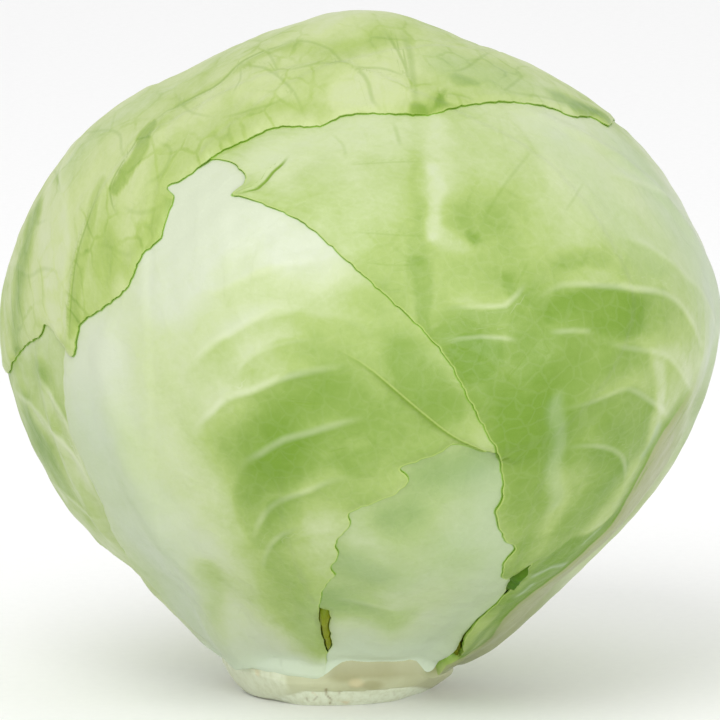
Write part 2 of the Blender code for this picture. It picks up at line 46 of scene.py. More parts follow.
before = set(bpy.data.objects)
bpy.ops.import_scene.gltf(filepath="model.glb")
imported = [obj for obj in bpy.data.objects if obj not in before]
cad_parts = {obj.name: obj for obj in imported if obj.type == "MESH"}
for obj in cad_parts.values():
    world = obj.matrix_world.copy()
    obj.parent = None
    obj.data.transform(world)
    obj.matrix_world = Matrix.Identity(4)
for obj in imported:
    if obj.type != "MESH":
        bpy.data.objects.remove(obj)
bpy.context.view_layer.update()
MM = 0.001

# Head: its centre, and its radius from that centre at every PROFILE_STEP degrees up from the stem
HEAD_CENTRE = np.array([6.0, 0.0, 91.1])
PROFILE_STEP = 20.0
RIGHT_RADII = np.array([92.0, 88.6, 83.6, 83.4, 87.6, 92.2, 87.3, 81.4, 80.2, 83.0])
LEFT_RADII = np.array([92.0, 89.0, 84.8, 87.6, 89.8, 89.1, 85.2, 79.4, 80.0, 83.0])
MAP_RADIUS = 86.0
DEPTH_LOSS = 0.04
SWELLS = ((0.8, (3.1, 1.9, -2.6), 0.4), (0.6, (-4.7, 3.3, 4.1), 1.9), (0.4, (6.9, -7.4, 5.2), 3.0))

# Front view that the visible edges are given in: (right, up) from the cut face, looking down a little.
# Marks are given as pixels of the photograph, whose scale and place of the cut face are these.
VIEW_TILT = math.radians(10.0)
PIXEL = 0.25
PHOTO_ORIGIN = np.array([335.0, 689.0])
PHOTO_MIDDLE = np.array([360.0, 360.0])
PHOTO_WIDTH = 720.0

# Leaves: how deep they lie under the wrapped head's radius, and how they end at the stem
WRAP_DEPTH = 2.7
BASE_SINK = 2.6
BASE_SINK_ANGLES = (25.0, 60.0)
FRONT_TURN = -68.0
FRONT_SPREAD = (16.0, 34.0)
FRONT_SINK = 2.5
SKIN_DEPTH = 1.9
BASE_ANGLE = 18.7
FRONT_BASE_ANGLE = 19.6
BASE_ARC_STEP = 12.0
BASE_TUCK = 2.6
TUCK_START = 0.6
TUCK_DEPTH = 0.3

# Leaves: blade, free edge, veins, ribs and fold
THINNEST = 0.3
EDGE_SHARE = 0.35
EDGE_TAPER = 2.0
EDGE_LIFT_REACH = 6.0
EDGE_NICKS = ((0.16, 6.7, 0.3), (0.12, 3.7, 1.7), (0.08, 2.3, 4.1))
VEIN_HALF_WIDTH = 3.0
SIDE_VEIN = (1.2, 0.45)
VEIN_MARGIN = 12.0
VEIN_FORWARD = (0.55, 0.003)
RIB_TIP_SHARE = 0.2
RIB_TAPER = 1.5
COVER_START = 0.8
COVER_END = 7.0
BARE_START = 1.0
BARE_END = 6.0
FOLD_HEIGHT = 1.0
FOLD_RUN = 1.0
FOLD_REACH = 30.0
FOLD_FADE = 22.0
FOLD_SPREAD = 5.0
QUILT_WAVES = (
    (0.5, (31.0, 17.0, -23.0), 0.4),
    (0.3, (-43.0, 29.0, 37.0), 1.9),
    (0.2, (61.0, -53.0, 41.0), 3.0),
)

# Steps of the lines on a leaf's map, how far they are felt, how many places are taken at once, and the
# angle past which an edge of a mesh is shaded sharp
OUTLINE_STEP = 1.2
RIB_STEP = 4.0
REACH = 25.0
CHUNK = 3000
SHARP_ANGLE = math.radians(58.0)

# Greenness: how much less by the midrib and by the base, over which distances, and the tint and width
# of the bands above and below a vein: paler above as painted highlight, greener below as painted shade
PALER_BY_RIB = 0.22
PALE_RIB_REACH = (4.0, 34.0)
PALER_BY_BASE = 0.25
PALE_BASE_REACH = (8.0, 50.0)
LIT_TINT_ABOVE_VEIN = (-0.17, 3.8)
SHADE_TINT_BELOW_VEIN = (0.05, 5.0)
TINT_TURN = 0.9
VEIN_TINT_REACH = 14.0
TONE_WAVES = ((0.05, (6.1, 5.3, -7.2), 0.9), (0.04, (-11.7, 9.1, 8.3), 2.2), (0.03, (19.3, -15.1, 17.9), 0.2))

# Inner head: rows and columns, closest where the gaps between leaves show it, and how far it rises there,
# between which distances from a leaf's edge and from which angle up from the stem
HEAD_ROWS = 170
HEAD_COLUMNS = 320
HEAD_RISES = ((0.0, 0.04, 0.7, 1.0), (0.02, 18.0, 56.0, 179.98))
HEAD_TURNS = ((0.0, 0.62, 1.0), (-115.0, -15.0, 245.0))
HEART_GAP = 0.6
GAP_RISE = 3.0
GAP_EDGE = (-0.4, 1.2)
GAP_ANGLES = (19.5, 24.0)
OLIVE_ANGLES = (36.0, 42.0)
SEAT_GAP = 1.5

# Stem: (radius, height, share of the head's lean) of each ring from the cut face up, then its shoulder
STEM_RINGS = ((22.6, 0.0, 0.0), (24.0, 0.8, 0.1), (26.3, 3.0, 0.4), (28.6, 5.8, 0.8))
STEM_LOBES = ((0.5, 3, 0.7), (0.35, 7, 2.1), (0.2, 11, 4.0))
STEM_COLUMNS = 360
STEM_STEPS = 10
FOOT_RINGS = 24
LID_RINGS = 6
SHOULDER_ANGLE = 19.2
SHOULDER_RISE = 1.2
SHOULDER_RADIUS = 89.0
SHOULDER_DIP = 2.0
STEM_TOP_RADIUS = 27.0
STEM_TOP = 11.6

# Marks on the stem's front, as pixels of the photograph: blots with two radii, edges, and cracks with a
# half width and a strength
SCAR = ((356, 682), (2.1, 1.25))
TAN_BLOTS = (((372, 668), (12.0, 2.6)), ((372, 684), (3.0, 1.4)), ((345, 674), (5.0, 2.0)))
# Painted shade of the hollow between two leaf bases, painted on the stem
HOLLOW_SHADE_BLOTS = (((432, 663), (3.2, 3.4)), ((438, 658), (3.2, 3.0)))
BLOT_EDGE = (0.45, 1.3)
TRIM_EDGE = ((262, 700), (291, 694), (307, 689), (327, 686), (345, 687), (380, 688), (410, 686), (432, 690))
LOBE_EDGE = ((246, 651), (268, 660), (286, 668), (288, 680), (292, 690))
STEM_CRACKS = (
    (((326, 688), (327, 695), (331, 699), (330, 703)), 0.2, 0.9),
    (((305, 697), (308, 701)), 0.2, 0.7),
    (((317, 696), (313, 700)), 0.2, 0.6),
    (((339, 689), (340, 694)), 0.2, 0.4),
    (((394, 691), (396, 695)), 0.2, 0.4),
)

# Marks on the stem: where its front starts, how far edges reach, how sharp they are, how deep marks go,
# and over which steps from the foot and to the shoulder they fade. The ridges are a wave up the stem
# (height and number) bent by a wave across it.
STEM_FRONT = (2.0, -6.0)
TRIM_REACH = 12.0
TRIM_SOFTNESS = 0.4
TRIM_TOP = 4.5
TRIM_DEPTH = 0.5
BACK_TRIM = (1.6, 2.2)
BACK_TRIM_WAVE = (0.5, 9.0)
LOBE_REACH = 14.0
LOBE_SOFTNESS = (-0.3, 0.9)
LOBE_SIDE = (-9.0, -14.0)
LOBE_HEIGHT = 0.55
LOBE_CUT = 0.7
CRACK_STEP = 0.5
CRACK_REACH = 3.0
CRACK_DEPTH = 0.5
SCAR_HEIGHT = 0.7
TAN_SHARE = 0.8
RIDGES = (0.04, 7.0, 2.0, 0.35)
FOOT_FADE = (0.0, 0.8)
TOP_FADE = (4.0, 3.0)

# Edges that show from the front, as (right, up) points. The cap's face stands out beyond the skin that
# such points are placed on, by CAP_STANDS_OUT.
CAP_STANDS_OUT = 3.0
CAP_FREE_EDGE = (
    (-83, 79), (-82, 82), (-80, 85), (-75, 88.5), (-74, 91), (-72, 90), (-66, 83), (-65, 87), (-64, 91),
    (-58.5, 95), (-52, 100.5), (-48, 109), (-44, 113), (-43, 117), (-41, 123.5), (-43, 125.5),
    (-38.5, 128), (-33, 132), (-22, 137.5), (-15.5, 140.5), (-4, 141), (2, 143.5), (16, 144),
    (24, 144), (34, 147), (45, 148), (57, 146), (60.5, 144.5), (67, 144), (69.5, 142.3),
)
RIGHT_FREE_EDGE = (
    (-33, 132), (-26, 131), (-23, 129), (-21.5, 126), (-25, 122.5), (-22, 122), (-16.5, 120),
    (-8, 116), (2.5, 107), (12.5, 98), (21, 90), (27.5, 82), (32, 73.5), (36, 66), (40.5, 57),
    (41, 48.5), (39.5, 45), (42, 38), (44.5, 36), (42, 33), (42, 28), (44, 28.5), (49, 32),
    (47, 29.3), (44.8, 26.4), (43.2, 24), (41.2, 22.2), (36.4, 17.6), (32, 13.7), (29.6, 11.4), (27.5, 9.1),
)
LEFT_FREE_EDGE = (
    (-2, 9), (-4, 19.5), (-2.5, 26.5), (0, 29.5), (-1, 31), (1, 35), (0, 37), (4, 43), (3, 44.5),
    (7, 46.5), (15, 50), (18, 53), (16, 56), (21, 58), (27, 60.5), (29, 62), (38.5, 60),
)
LEFT_OUTER_EDGE = ((-66, 86), (-66.5, 75), (-65, 65), (-58.5, 50), (-49.5, 32.5))
FRONT_RIGHT_EDGE = ((27.9, 10), (31.5, 13.4), (36.4, 17.4), (41.2, 21.4), (44, 28), (48, 42))
FRONT_LEFT_EDGE = ((-4.2, 20.5), (-1.7, 19.7), (-1.4, 15), (-0.9, 10.5))
FAR_LEFT_LOW_EDGE = ((-59.5, 37.5), (-51.5, 32), (-43.5, 25), (-36, 16.5))
LEFT_MIDRIB = ((-19, 9), (-30, 22), (-42.5, 40), (-51, 60), (-56, 80), (-54, 97), (-46, 115), (-34, 130))

# Veins from the midrib outwards, each a run of pixels of the photograph, its half width and its strength
LEFT_VEINS = (
    (((180, 308), (202, 300), (237, 285), (270, 272), (291, 265), (312, 263), (345, 265)), 1.5, 0.3),
    (((186, 384), (195, 367), (218, 343), (253, 322), (277, 315), (300, 311), (322, 308)), 1.3, 0.6),
    (((300, 312), (323, 315), (342, 318), (361, 327), (376, 345)), 1.2, 0.15),
    (((239, 384), (242, 367), (256, 355), (277, 346), (300, 341), (322, 340)), 0.8, 0.4),
    (((196, 440), (202, 423), (214, 411), (230, 397), (253, 390), (281, 378), (305, 372), (328, 368),
      (356, 364)), 1.3, 0.6),
    (((240, 474), (248, 459), (263, 451), (286, 437), (309, 430), (333, 423), (351, 418),
      (372, 413)), 1.3, 0.4),
    (((252, 545), (258, 527), (266, 511), (281, 497), (309, 486), (333, 476), (362, 471)), 1.2, 0.4),
    (((262, 575), (268, 550), (277, 535), (297, 523), (318, 516)), 1.1, 0.3),
    (((290, 537), (313, 527), (342, 522)), 1.0, 0.2),
)

# Fold of the left leaf, as pixels of the photograph
LEFT_FOLD = ((328, 344), (360, 361), (374, 371), (401, 394), (420, 410), (436, 423), (456, 436), (480, 447))
RIGHT_VEINS = (
    (((704, 357), (692, 333), (679, 309), (658, 294), (630, 290), (589, 287), (555, 287), (534, 299),
      (518, 312)), 1.2, 0.5),
    (((716, 338), (711, 321), (693, 287), (665, 262), (637, 244), (613, 237), (590, 222)), 1.2, 0.35),
    (((690, 400), (679, 375), (658, 354), (630, 349), (603, 344), (586, 331)), 1.0, 0.5),
    (((592, 333), (570, 331), (540, 333)), 1.0, 0.45),
    (((661, 444), (665, 423), (658, 409), (644, 399), (624, 388), (613, 390), (589, 400), (562, 406),
      (546, 413)), 1.0, 0.5),
    (((620, 492), (622, 471), (617, 454), (599, 445), (579, 444), (552, 448)), 1.0, 0.45),
    (((712, 265), (700, 235), (681, 212), (650, 190), (624, 181), (590, 172)), 1.3, 0.3),
    (((524, 280), (512, 296), (500, 307), (478, 308), (455, 308), (434, 312)), 1.0, 0.5),
    (((518, 342), (495, 338), (476, 337), (455, 339), (434, 345)), 0.9, 0.4),
)
FAR_LEFT_VEINS = (
    (((106, 509), (85, 456), (69, 420), (55, 394), (34, 360)), 1.3, 0.6),
    (((106, 509), (92, 479), (76, 452), (57, 429), (37, 404), (16, 385)), 1.2, 0.6),
    (((114, 520), (91, 509), (71, 491), (46, 475)), 1.0, 0.4),
)
FRONT_INNER_VEINS = (
    (((326, 596), (350, 600), (376, 606), (410, 610)), 1.4, 0.3),
    (((346, 548), (362, 540), (382, 541)), 1.3, 0.2),
)

# Creases: narrow dark grooves, each a run of pixels of the photograph, its half width and its strength.
# Their dark green is partly the leaf's own and partly painted shade in the groove.
CAP_CREASES = (
    (((310, 28), (288, 34), (240, 53), (216, 76), (180, 96), (152, 118), (140, 130)), 0.8, 0.6),
    (((152, 119), (136, 136), (124, 160), (109, 190), (112, 204), (122, 224)), 0.6, 0.6),
    (((102, 172), (96, 196), (84, 232), (74, 270), (71, 310), (72, 358)), 0.6, 0.6),
    (((225, 56), (240, 58), (262, 62), (280, 76), (296, 96), (307, 122)), 0.9, 0.36),
    (((236, 58), (238, 74), (230, 94)), 0.6, 0.3),
    (((270, 34), (302, 33), (329, 42), (342, 58), (356, 70)), 0.9, 0.36),
    (((276, 70), (310, 62), (335, 60), (352, 66)), 0.8, 0.3),
    (((260, 38), (270, 52), (278, 72)), 0.7, 0.3),
    (((338, 66), (356, 67), (369, 84), (373, 102), (384, 112)), 1.2, 0.4),
    (((346, 67), (370, 65), (387, 67), (410, 76)), 0.9, 0.34),
    (((380, 16), (387, 24), (400, 49), (409, 71), (416, 95)), 0.9, 0.5),
    (((402, 12), (406, 26), (411, 49), (414, 80), (418, 120)), 1.8, 0.42),
    (((496, 44), (484, 52), (462, 66), (438, 68)), 0.8, 0.4),
    (((530, 68), (524, 73), (511, 84), (498, 96)), 0.8, 0.36),
    (((500, 88), (520, 90), (542, 93), (585, 104)), 0.9, 0.3),
    (((450, 84), (444, 89), (436, 106), (424, 118)), 1.2, 0.55),
    (((440, 92), (455, 92), (480, 98)), 0.8, 0.3),
    (((66, 124), (84, 128), (116, 132), (120, 152), (138, 166)), 0.8, 0.3),
    (((46, 166), (52, 176), (60, 198)), 0.7, 0.3),
    (((216, 118), (240, 112), (268, 106), (294, 94)), 0.8, 0.3),
    (((172, 84), (176, 96), (190, 110), (218, 116)), 0.8, 0.25),
    (((152, 140), (170, 150), (162, 172), (140, 190)), 0.9, 0.3),
    (((118, 206), (140, 214), (160, 206), (168, 196)), 1.0, 0.25),
    (((88, 250), (104, 246), (128, 256), (142, 250)), 1.0, 0.22),
    (((20, 214), (34, 222), (46, 216)), 0.8, 0.25),
    (((8, 268), (24, 276), (40, 268), (62, 276)), 0.9, 0.25),
)
RIGHT_CREASES = (
    # The first and the eleventh are slits, darkest as painted shade in their depth
    (((292, 160), (284, 170), (276, 177), (269, 186), (260, 194), (246, 198), (234, 200)), 0.6, 1.4),
    (((532, 149), (507, 181), (489, 207), (468, 248)), 0.6, 0.25),
    (((582, 182), (570, 200), (556, 220)), 0.5, 0.2),
    (((524, 262), (514, 282), (504, 300)), 0.5, 0.3),
    (((543, 327), (513, 366), (490, 390)), 0.4, 0.4),
    (((488, 389), (515, 389), (546, 389)), 0.35, 0.4),
    (((430, 347), (450, 340), (472, 338)), 0.35, 0.35),
    (((653, 450), (640, 470), (628, 492)), 0.35, 0.7),
    (((688, 392), (670, 425), (655, 447)), 0.35, 0.5),
    (((552, 572), (536, 582), (524, 594)), 0.35, 0.5),
    (((527, 576), (519, 580), (511, 583)), 0.4, 1.3),
    (((430, 167), (396, 168), (342, 171)), 0.45, 0.25),
    (((430, 240), (396, 239), (345, 236)), 0.45, 0.25),
    (((425, 268), (386, 268), (352, 264)), 0.45, 0.25),
    (((392, 128), (396, 140), (399, 154)), 0.8, 0.3),
    (((332, 140), (344, 152), (346, 166)), 0.7, 0.2),
)
LEFT_CREASES = (
    (((330, 402), (304, 402), (276, 401)), 0.3, 0.5),
    (((350, 443), (337, 447), (328, 449)), 0.35, 0.5),
    # Painted shade along the soft valley beside the midrib
    (((110, 430), (140, 500), (185, 560), (235, 610)), 2.0, 0.1),
)

# Marks: the share of their length that they take to full strength, and in half widths how far a line's
# strength is full and reaches. A waver is a size, a wave number and an angle.
NO_MARKS = ()
MARK_END_SHARE = 0.3
LINE_FULL = 1.6
LINE_REACH = 3.0
MARK_REACH = 3.0
MARK_POWER = 2.6
FAR = 6.0
WAVER = ((0.7, 0.33, 0.4), (0.35, 0.75, 1.9))

# Cells: filled outlines in pixels of the photograph, how soft their edge is, and how much greener (or
# paler) they are. Patches: runs of such pixels, half widths, and how much greener (or paler). Cool marks:
# the same, and how much cooler.
CAP_CELLS = (
    (((150, 117), (154, 123), (150, 140), (140, 165), (117, 196), (110, 191), (128, 158),
      (140, 129)), 0.6, 0.3),
    (((99, 178), (104, 182), (94, 222), (88, 262), (80, 300), (75, 340), (69, 340), (70, 287),
      (82, 232)), 0.9, 0.16),
    (((40, 184), (60, 190), (66, 240), (66, 330), (50, 330), (38, 270), (34, 220)), 2.2, -0.2),
    (((360, 72), (372, 86), (376, 106), (350, 108), (332, 104), (330, 84), (344, 72)), 2.4, -0.08),
    (((378, 74), (404, 78), (408, 106), (384, 108), (376, 92)), 2.0, -0.1),
    (((240, 66), (270, 70), (288, 92), (270, 104), (244, 108), (234, 90)), 2.4, -0.08),
    (((449, 72), (455, 69), (466, 74), (480, 80), (470, 83), (455, 80)), 1.2, 0.2),
    (((412, 102), (426, 104), (430, 114), (411, 116)), 1.0, 0.26),
    (((438, 108), (441, 94), (447, 87), (447, 100), (462, 104), (450, 108)), 1.0, 0.2),
    (((574, 98), (592, 102), (606, 110), (590, 112), (572, 104)), 1.0, 0.25),
)
CAP_COOL = (
    (((450, 60), (510, 78), (560, 92)), 10.0, 0.3),
    (((150, 90), (60, 170)), 8.0, 0.2),
)
CAP_PATCHES = (
    (((296, 34), (234, 62), (200, 85), (172, 101)), 1.8, 0.14),
    (((110, 250), (100, 300), (86, 330)), 7.0, 0.16),
    (((165, 210), (150, 240), (128, 275)), 5.0, 0.16),
    (((30, 210), (16, 270), (10, 330), (14, 362)), 7.0, 0.36),
    (((425, 112), (440, 104)), 4.0, 0.2),
    (((290, 40), (340, 42), (390, 30)), 5.0, 0.14),
    (((250, 110), (330, 112)), 3.0, 0.12),
    (((450, 60), (520, 80)), 8.0, 0.08),
    (((190, 110), (150, 150), (130, 230)), 5.0, -0.08),
    (((120, 125), (100, 165)), 9.0, -0.1),
    (((560, 94), (612, 114)), 4.0, 0.42),
)
RIGHT_PATCHES = (
    (((585, 310), (620, 320), (560, 345)), 12.0, 0.16),
    (((560, 400), (600, 420)), 14.0, 0.24),
    (((520, 300), (470, 320)), 12.0, 0.18),
    (((520, 390), (530, 440), (525, 520)), 10.0, 0.22),
    (((612, 455), (590, 500), (545, 555), (505, 598)), 9.0, 0.3),
    (((455, 345), (480, 400), (500, 450)), 7.0, 0.28),
    (((470, 340), (515, 350)), 6.0, 0.1),
    (((500, 575), (520, 545)), 5.0, 0.3),
    (((660, 440), (620, 505), (580, 548), (500, 612), (450, 655)), 2.6, 0.45),
    (((240, 170), (320, 150), (400, 135)), 11.0, -0.2),
    # Paler: painted reflection along the right outline
    (((655, 165), (695, 235), (712, 320), (700, 370)), 9.0, -0.3),
    (((650, 395), (642, 440), (612, 480)), 6.0, 0.2),
    # Paler: painted highlight on the ridge's right flank
    (((434, 132), (437, 190), (440, 240)), 4.4, -0.13),
    (((430, 172), (430, 236)), 2.2, -0.2),
    (((520, 440), (560, 500), (620, 430)), 15.0, 0.09),
    (((490, 235), (530, 260)), 11.0, 0.06),
    (((465, 185), (545, 178)), 9.0, -0.13),
    (((300, 185), (340, 180)), 8.0, -0.08),
    (((694, 396), (688, 425), (676, 450)), 3.2, 0.3),
    (((438, 238), (456, 250)), 2.6, -0.12),
)
RIGHT_CELLS = (
    (((541, 304), (562, 292), (596, 290), (630, 295), (636, 313), (636, 333), (617, 340), (589, 333),
      (580, 328), (558, 330), (543, 326), (537, 311)), 1.0, 0.17),
    (((544, 268), (562, 254), (582, 250), (602, 258), (600, 268), (576, 274)), 1.6, 0.14),
    (((523, 393), (541, 391), (543, 410), (540, 436), (529, 436), (524, 414)), 1.0, 0.3),
    (((410, 264), (426, 262), (428, 300), (428, 344), (418, 336), (411, 300)), 0.8, 0.14),
    (((409, 119), (421, 119), (421, 200), (423, 268), (410, 268), (410, 200)), 1.2, 0.06),
    (((466, 238), (474, 239), (475, 246), (468, 251), (465, 246)), 1.0, 0.2),
    (((501, 279), (513, 281), (511, 292), (505, 302), (501, 298)), 1.2, 0.16),
    # Painted shade: deep green where this leaf's base lies in the shaded hollow by the stem
    (((462, 645), (456, 652), (449, 662), (441, 676), (428, 676), (430, 656), (446, 652)), 0.6, 0.9),
    (((532, 150), (540, 180), (520, 215), (472, 250), (476, 232), (505, 188)), 1.4, 0.05),
    (((436, 352), (452, 346), (495, 345), (500, 360), (480, 380), (455, 378)), 1.4, 0.12),
    (((544, 390), (546, 440), (544, 530), (558, 520), (559, 440), (558, 390)), 1.6, -0.14),
    (((648, 352), (660, 366), (660, 410), (654, 446), (644, 446), (650, 402)), 1.6, -0.26),
    (((652, 462), (628, 500), (600, 522), (562, 542), (540, 562), (520, 588), (492, 618), (500, 617),
      (531, 591), (564, 566), (587, 545), (609, 524), (626, 493), (645, 458)), 1.4, 0.45),
)
LEFT_PATCHES = (
    (((262, 440), (270, 510), (290, 590), (320, 645)), 10.0, 0.26),
    (((310, 300), (350, 320)), 9.0, 0.06),
    (((240, 350), (300, 330), (340, 345)), 8.0, 0.03),
    (((320, 395), (390, 415), (430, 440)), 13.0, 0.28),
    (((290, 460), (345, 480)), 12.0, 0.26),
    (((400, 350), (440, 400)), 6.5, 0.28),
    # Paler: the left leaf's pale top, with a painted highlight in it
    (((185, 185), (215, 215), (330, 232)), 14.0, -0.42),
    (((182, 250), (190, 300)), 8.5, -0.33),
    (((212, 565), (226, 620), (240, 645)), 5.0, 0.26),
    (((250, 430), (330, 425)), 12.0, 0.06),
    (((240, 412), (256, 420)), 6.0, -0.12),
    (((262, 476), (282, 480)), 7.0, -0.07),
    (((90, 360), (100, 440), (150, 540), (230, 630)), 11.0, -0.16),
)
LEFT_CELLS = (
    (((243, 466), (262, 462), (300, 462), (300, 520), (262, 545), (243, 530)), 0.9, 0.1),
    (((205, 420), (224, 402), (236, 420), (232, 458), (214, 470), (203, 448)), 2.6, 0.04),
    (((345, 446), (372, 442), (384, 452), (372, 472), (345, 470), (325, 462)), 1.4, 0.1),
)
LEFT_COOL_AND_SHADE = (
    # Painted shade: greyish along the midrib's valley and its lower part, which lie in shade
    (((100, 440), (150, 540), (210, 620), (260, 650)), 16.0, 0.6),
    (((300, 640), (322, 600)), 5.0, 0.2),
)
RIGHT_COOL_AND_SHEEN = (
    # Painted reflection of the white surroundings along the right outline and its top
    (((640, 170), (690, 250), (712, 330), (690, 420)), 14.0, 0.75),
    (((560, 150), (620, 230), (650, 260)), 9.0, 0.3),
    (((550, 400), (552, 460), (552, 500)), 2.2, 0.35),
    # Painted highlights: glossy bluish-white marks on the rib strip
    (((655, 425), (648, 440), (640, 455)), 1.5, 0.9),
    (((532, 575), (548, 567), (564, 562)), 1.0, 0.9),
    (((519, 593), (528, 584)), 1.1, 0.9),
    (((546, 581), (557, 573)), 0.7, 0.8),
    (((583, 540), (598, 526)), 0.8, 0.6),
)
FRONT_INNER_COOL = (
    (((495, 490), (500, 560), (470, 620), (420, 650), (350, 660)), 12.0, 0.5),
    (((360, 560), (420, 580), (450, 540)), 6.0, 0.2),
)

FRONT_INNER_PATCHES = (
    (((392, 512), (408, 508)), 6.5, 0.28),
    (((340, 600), (395, 618)), 8.0, 0.38),
    (((338, 560), (372, 575)), 7.0, 0.2),
    (((425, 470), (475, 460)), 7.0, 0.36),
    (((495, 500), (500, 560), (470, 620), (420, 650)), 8.0, -0.16),
    (((350, 655), (430, 660)), 4.0, -0.15),
)
FAR_LEFT_PATCHES = (
    (((8, 352), (25, 362), (45, 375)), 4.5, 0.28),
    (((52, 450), (90, 515)), 6.0, 0.25),
    (((30, 400), (45, 450)), 5.0, 0.2),
    (((28, 365), (20, 390)), 6.0, -0.15),
)

# Line on the right leaf where the wide midrib meets the blade, as pixels of the photograph
RIGHT_RIB_EDGE = (
    (695, 360), (686, 390), (660, 429), (642, 463), (626, 493), (609, 524), (587, 545), (564, 566),
    (531, 591), (500, 617), (480, 633), (438, 675),
)
RIB_EDGE_STEP = 0.7
RIB_EDGE_RISE = (-0.6, 1.2)
RIB_EDGE_FADE = (3.0, 20.0)
RIB_EDGE_REACH = 34.0
STRIP_REACH = 16.0

# Finish of each kind of leaf: how green and how pale its nets of veins are, its mottling, the strength of
# the painted highlight on its free edge's rim, and the share of blue in its greens
LEAF_LOOKS = {
    "pale_leaf": (0.02, 0.03, 0.24, 0.6, 1.0),
    "green_leaf": (0.04, 0.04, 0.28, 0.6, 1.0),
    "cap_leaf": (0.13, 0.02, 0.18, 0.15, 0.84),
}
GREEN_STOPS = (0.0, 0.28, 0.52, 0.76, 1.0)

# Textures: scale and detail of each noise, scales of the nets, and how far the nets wander in metres
LEAF_CLOUDS = (38.0, 5.0)
LEAF_STREAKS = (150.0, 5.0)
LEAF_GRAIN = (560.0, 6.0)
LEAF_PORES = (1400.0, 3.0)
INNER_CLOUDS = (60.0, 5.0)
STEM_CLOUDS = (70.0, 5.0)
STEM_FIBRES = (700.0, 4.0)
STEM_WARMTH = (160.0, 3.0)
PAPER_TOOTH = (400.0, 2.0)
NOISE_ROUGHNESS = 0.55
NET_SCALE = 84.0
FINE_NET_SCALE = 230.0
NET_WANDER = (0.004, 0.004, 0.0)
FIBRE_STRETCH = (1.0, 1.0, 0.25)

# Spans in a finish: the range of a value that is read, and the strength at both its ends
NET_WALL = (0.01, 0.075, 1.0, 0.0)
NET_CELL = (0.08, 0.4, 0.0, 1.0)
FINE_NET_WALL = (0.01, 0.1, 1.0, 0.0)
NET_PATCHES = (0.42, 0.62, 0.1, 1.0)
VEIN_PATCHES = (0.35, 0.65, 0.3, 0.75)
VEIN_ACROSS = (0.0, 1.3, 1.0, 0.0)
CREASE_ACROSS = (0.1, 1.3, 1.0, 0.0)
BESIDE_STRIP = (-6.0, -0.5, 0.0, 0.8)
ON_STRIP = (-0.3, 0.3, 0.0, 0.85)
FOLD_SHADE = (-1.3, -0.3, 0.0, 0.95)
FOLD_STEP = (-0.2, 0.0, 1.0, 0.0)
# The fold's painted highlight, on the upper side of its step
FOLD_HIGHLIGHT_START = (-0.35, -0.05, 0.0, 1.0)
FOLD_HIGHLIGHT_END = (0.1, 0.45, 0.6, 0.0)
OFF_BASE = (0.5, 0.9, 1.0, 0.0)
EDGE_HIGHLIGHT = (0.1, 0.45)
UPPER_SHADE = (0.1, 0.6, 0.85, 0.0)
LEAF_ROUGHNESS = (0.3, 0.7, 0.36, 0.48)
INNER_ROUGHNESS = (0.3, 0.7, 0.4, 0.55)
STEM_ROUGHNESS = (0.3, 0.7, 0.45, 0.62)
FLESH_PATCHES = (0.35, 0.7, 0.0, 0.4)
CUT_FIBRES = (0.35, 0.75, 0.0, 0.5)
WARM_SPECKS = (0.62, 0.74, 0.0, 0.5)

# Strengths in a finish
STREAK_TONE = 0.12
GRAIN_TONE = 0.14
CELL_PALER = 0.3
COOL_SHARE = 0.7
CREASE_SHARE = 0.85
BASE_SHARE = 0.85
UNDER_SHARE = 0.95
SCAR_SHARE = 0.4
CRACK_SHARE = 0.8
CREASE_BUMP = 0.3

# Bumps: strength and distance in metres. A leaf's are its pores, streaks, net, grain and veins. Then the
# specular levels, and the paper's roughness and greys.
LEAF_BUMPS = ((0.12, 0.0003), (0.35, 0.0006), (0.12, 0.0003), (0.2, 0.0003), (0.4, 0.0005))
INNER_BUMP = (0.4, 0.001)
FIBRE_BUMP = (0.3, 0.0004)
FLESH_BUMP = (0.3, 0.001)
LEAF_SPECULAR = 0.45
INNER_SPECULAR = 0.2
STEM_SPECULAR = 0.5
PAPER_SPECULAR = 0.1
PAPER_ROUGHNESS = 0.9
PAPER_GREYS = ((0.0, (0.9, 0.9, 0.9, 1.0)), (1.0, (0.94, 0.94, 0.94, 1.0)))

# Lights: place and diameter, in metres, and the width of the camera's sensor in its own millimetres
KEY_LIGHT = ((-0.5, -1.1, 1.5), 1.2)
FILL_LIGHT = ((0.9, -1.6, 0.15), 1.0)
SENSOR_WIDTH = 36.0


def length_setting(name, description, millimetres):
    return bpy.props.FloatProperty(
        name=name, description=description, default=millimetres * MM, unit="LENGTH"
    )


def colour_setting(name, description, default):
    return bpy.props.FloatVectorProperty(
        name=name, description=description, default=default, subtype="COLOR"
    )


class CabbageSizes(bpy.types.PropertyGroup):
    """Sizes of the fine pieces."""

    grid: length_setting("Grid", "Spacing of the points of a leaf", 0.85)
    right_grid: length_setting("Right grid", "Spacing on the large right leaf", 0.93)
    cap_grid: length_setting("Cap grid", "Spacing on the largest leaf", 1.08)
    blade: length_setting("Blade", "Thickness of a leaf between its veins", 0.8)
    gap: length_setting("Gap", "Room between one leaf and the next", 0.06)
    vein_height: length_setting("Vein height", "How far a side vein stands out", 0.3)
    edge_lift: length_setting("Edge lift", "How far a free edge stands off", 0.12)
    crease_depth: length_setting("Crease depth", "Depth of the deepest crease", 0.3)
    quilting: length_setting("Quilting", "Height of the low bumps between veins", 0.22)


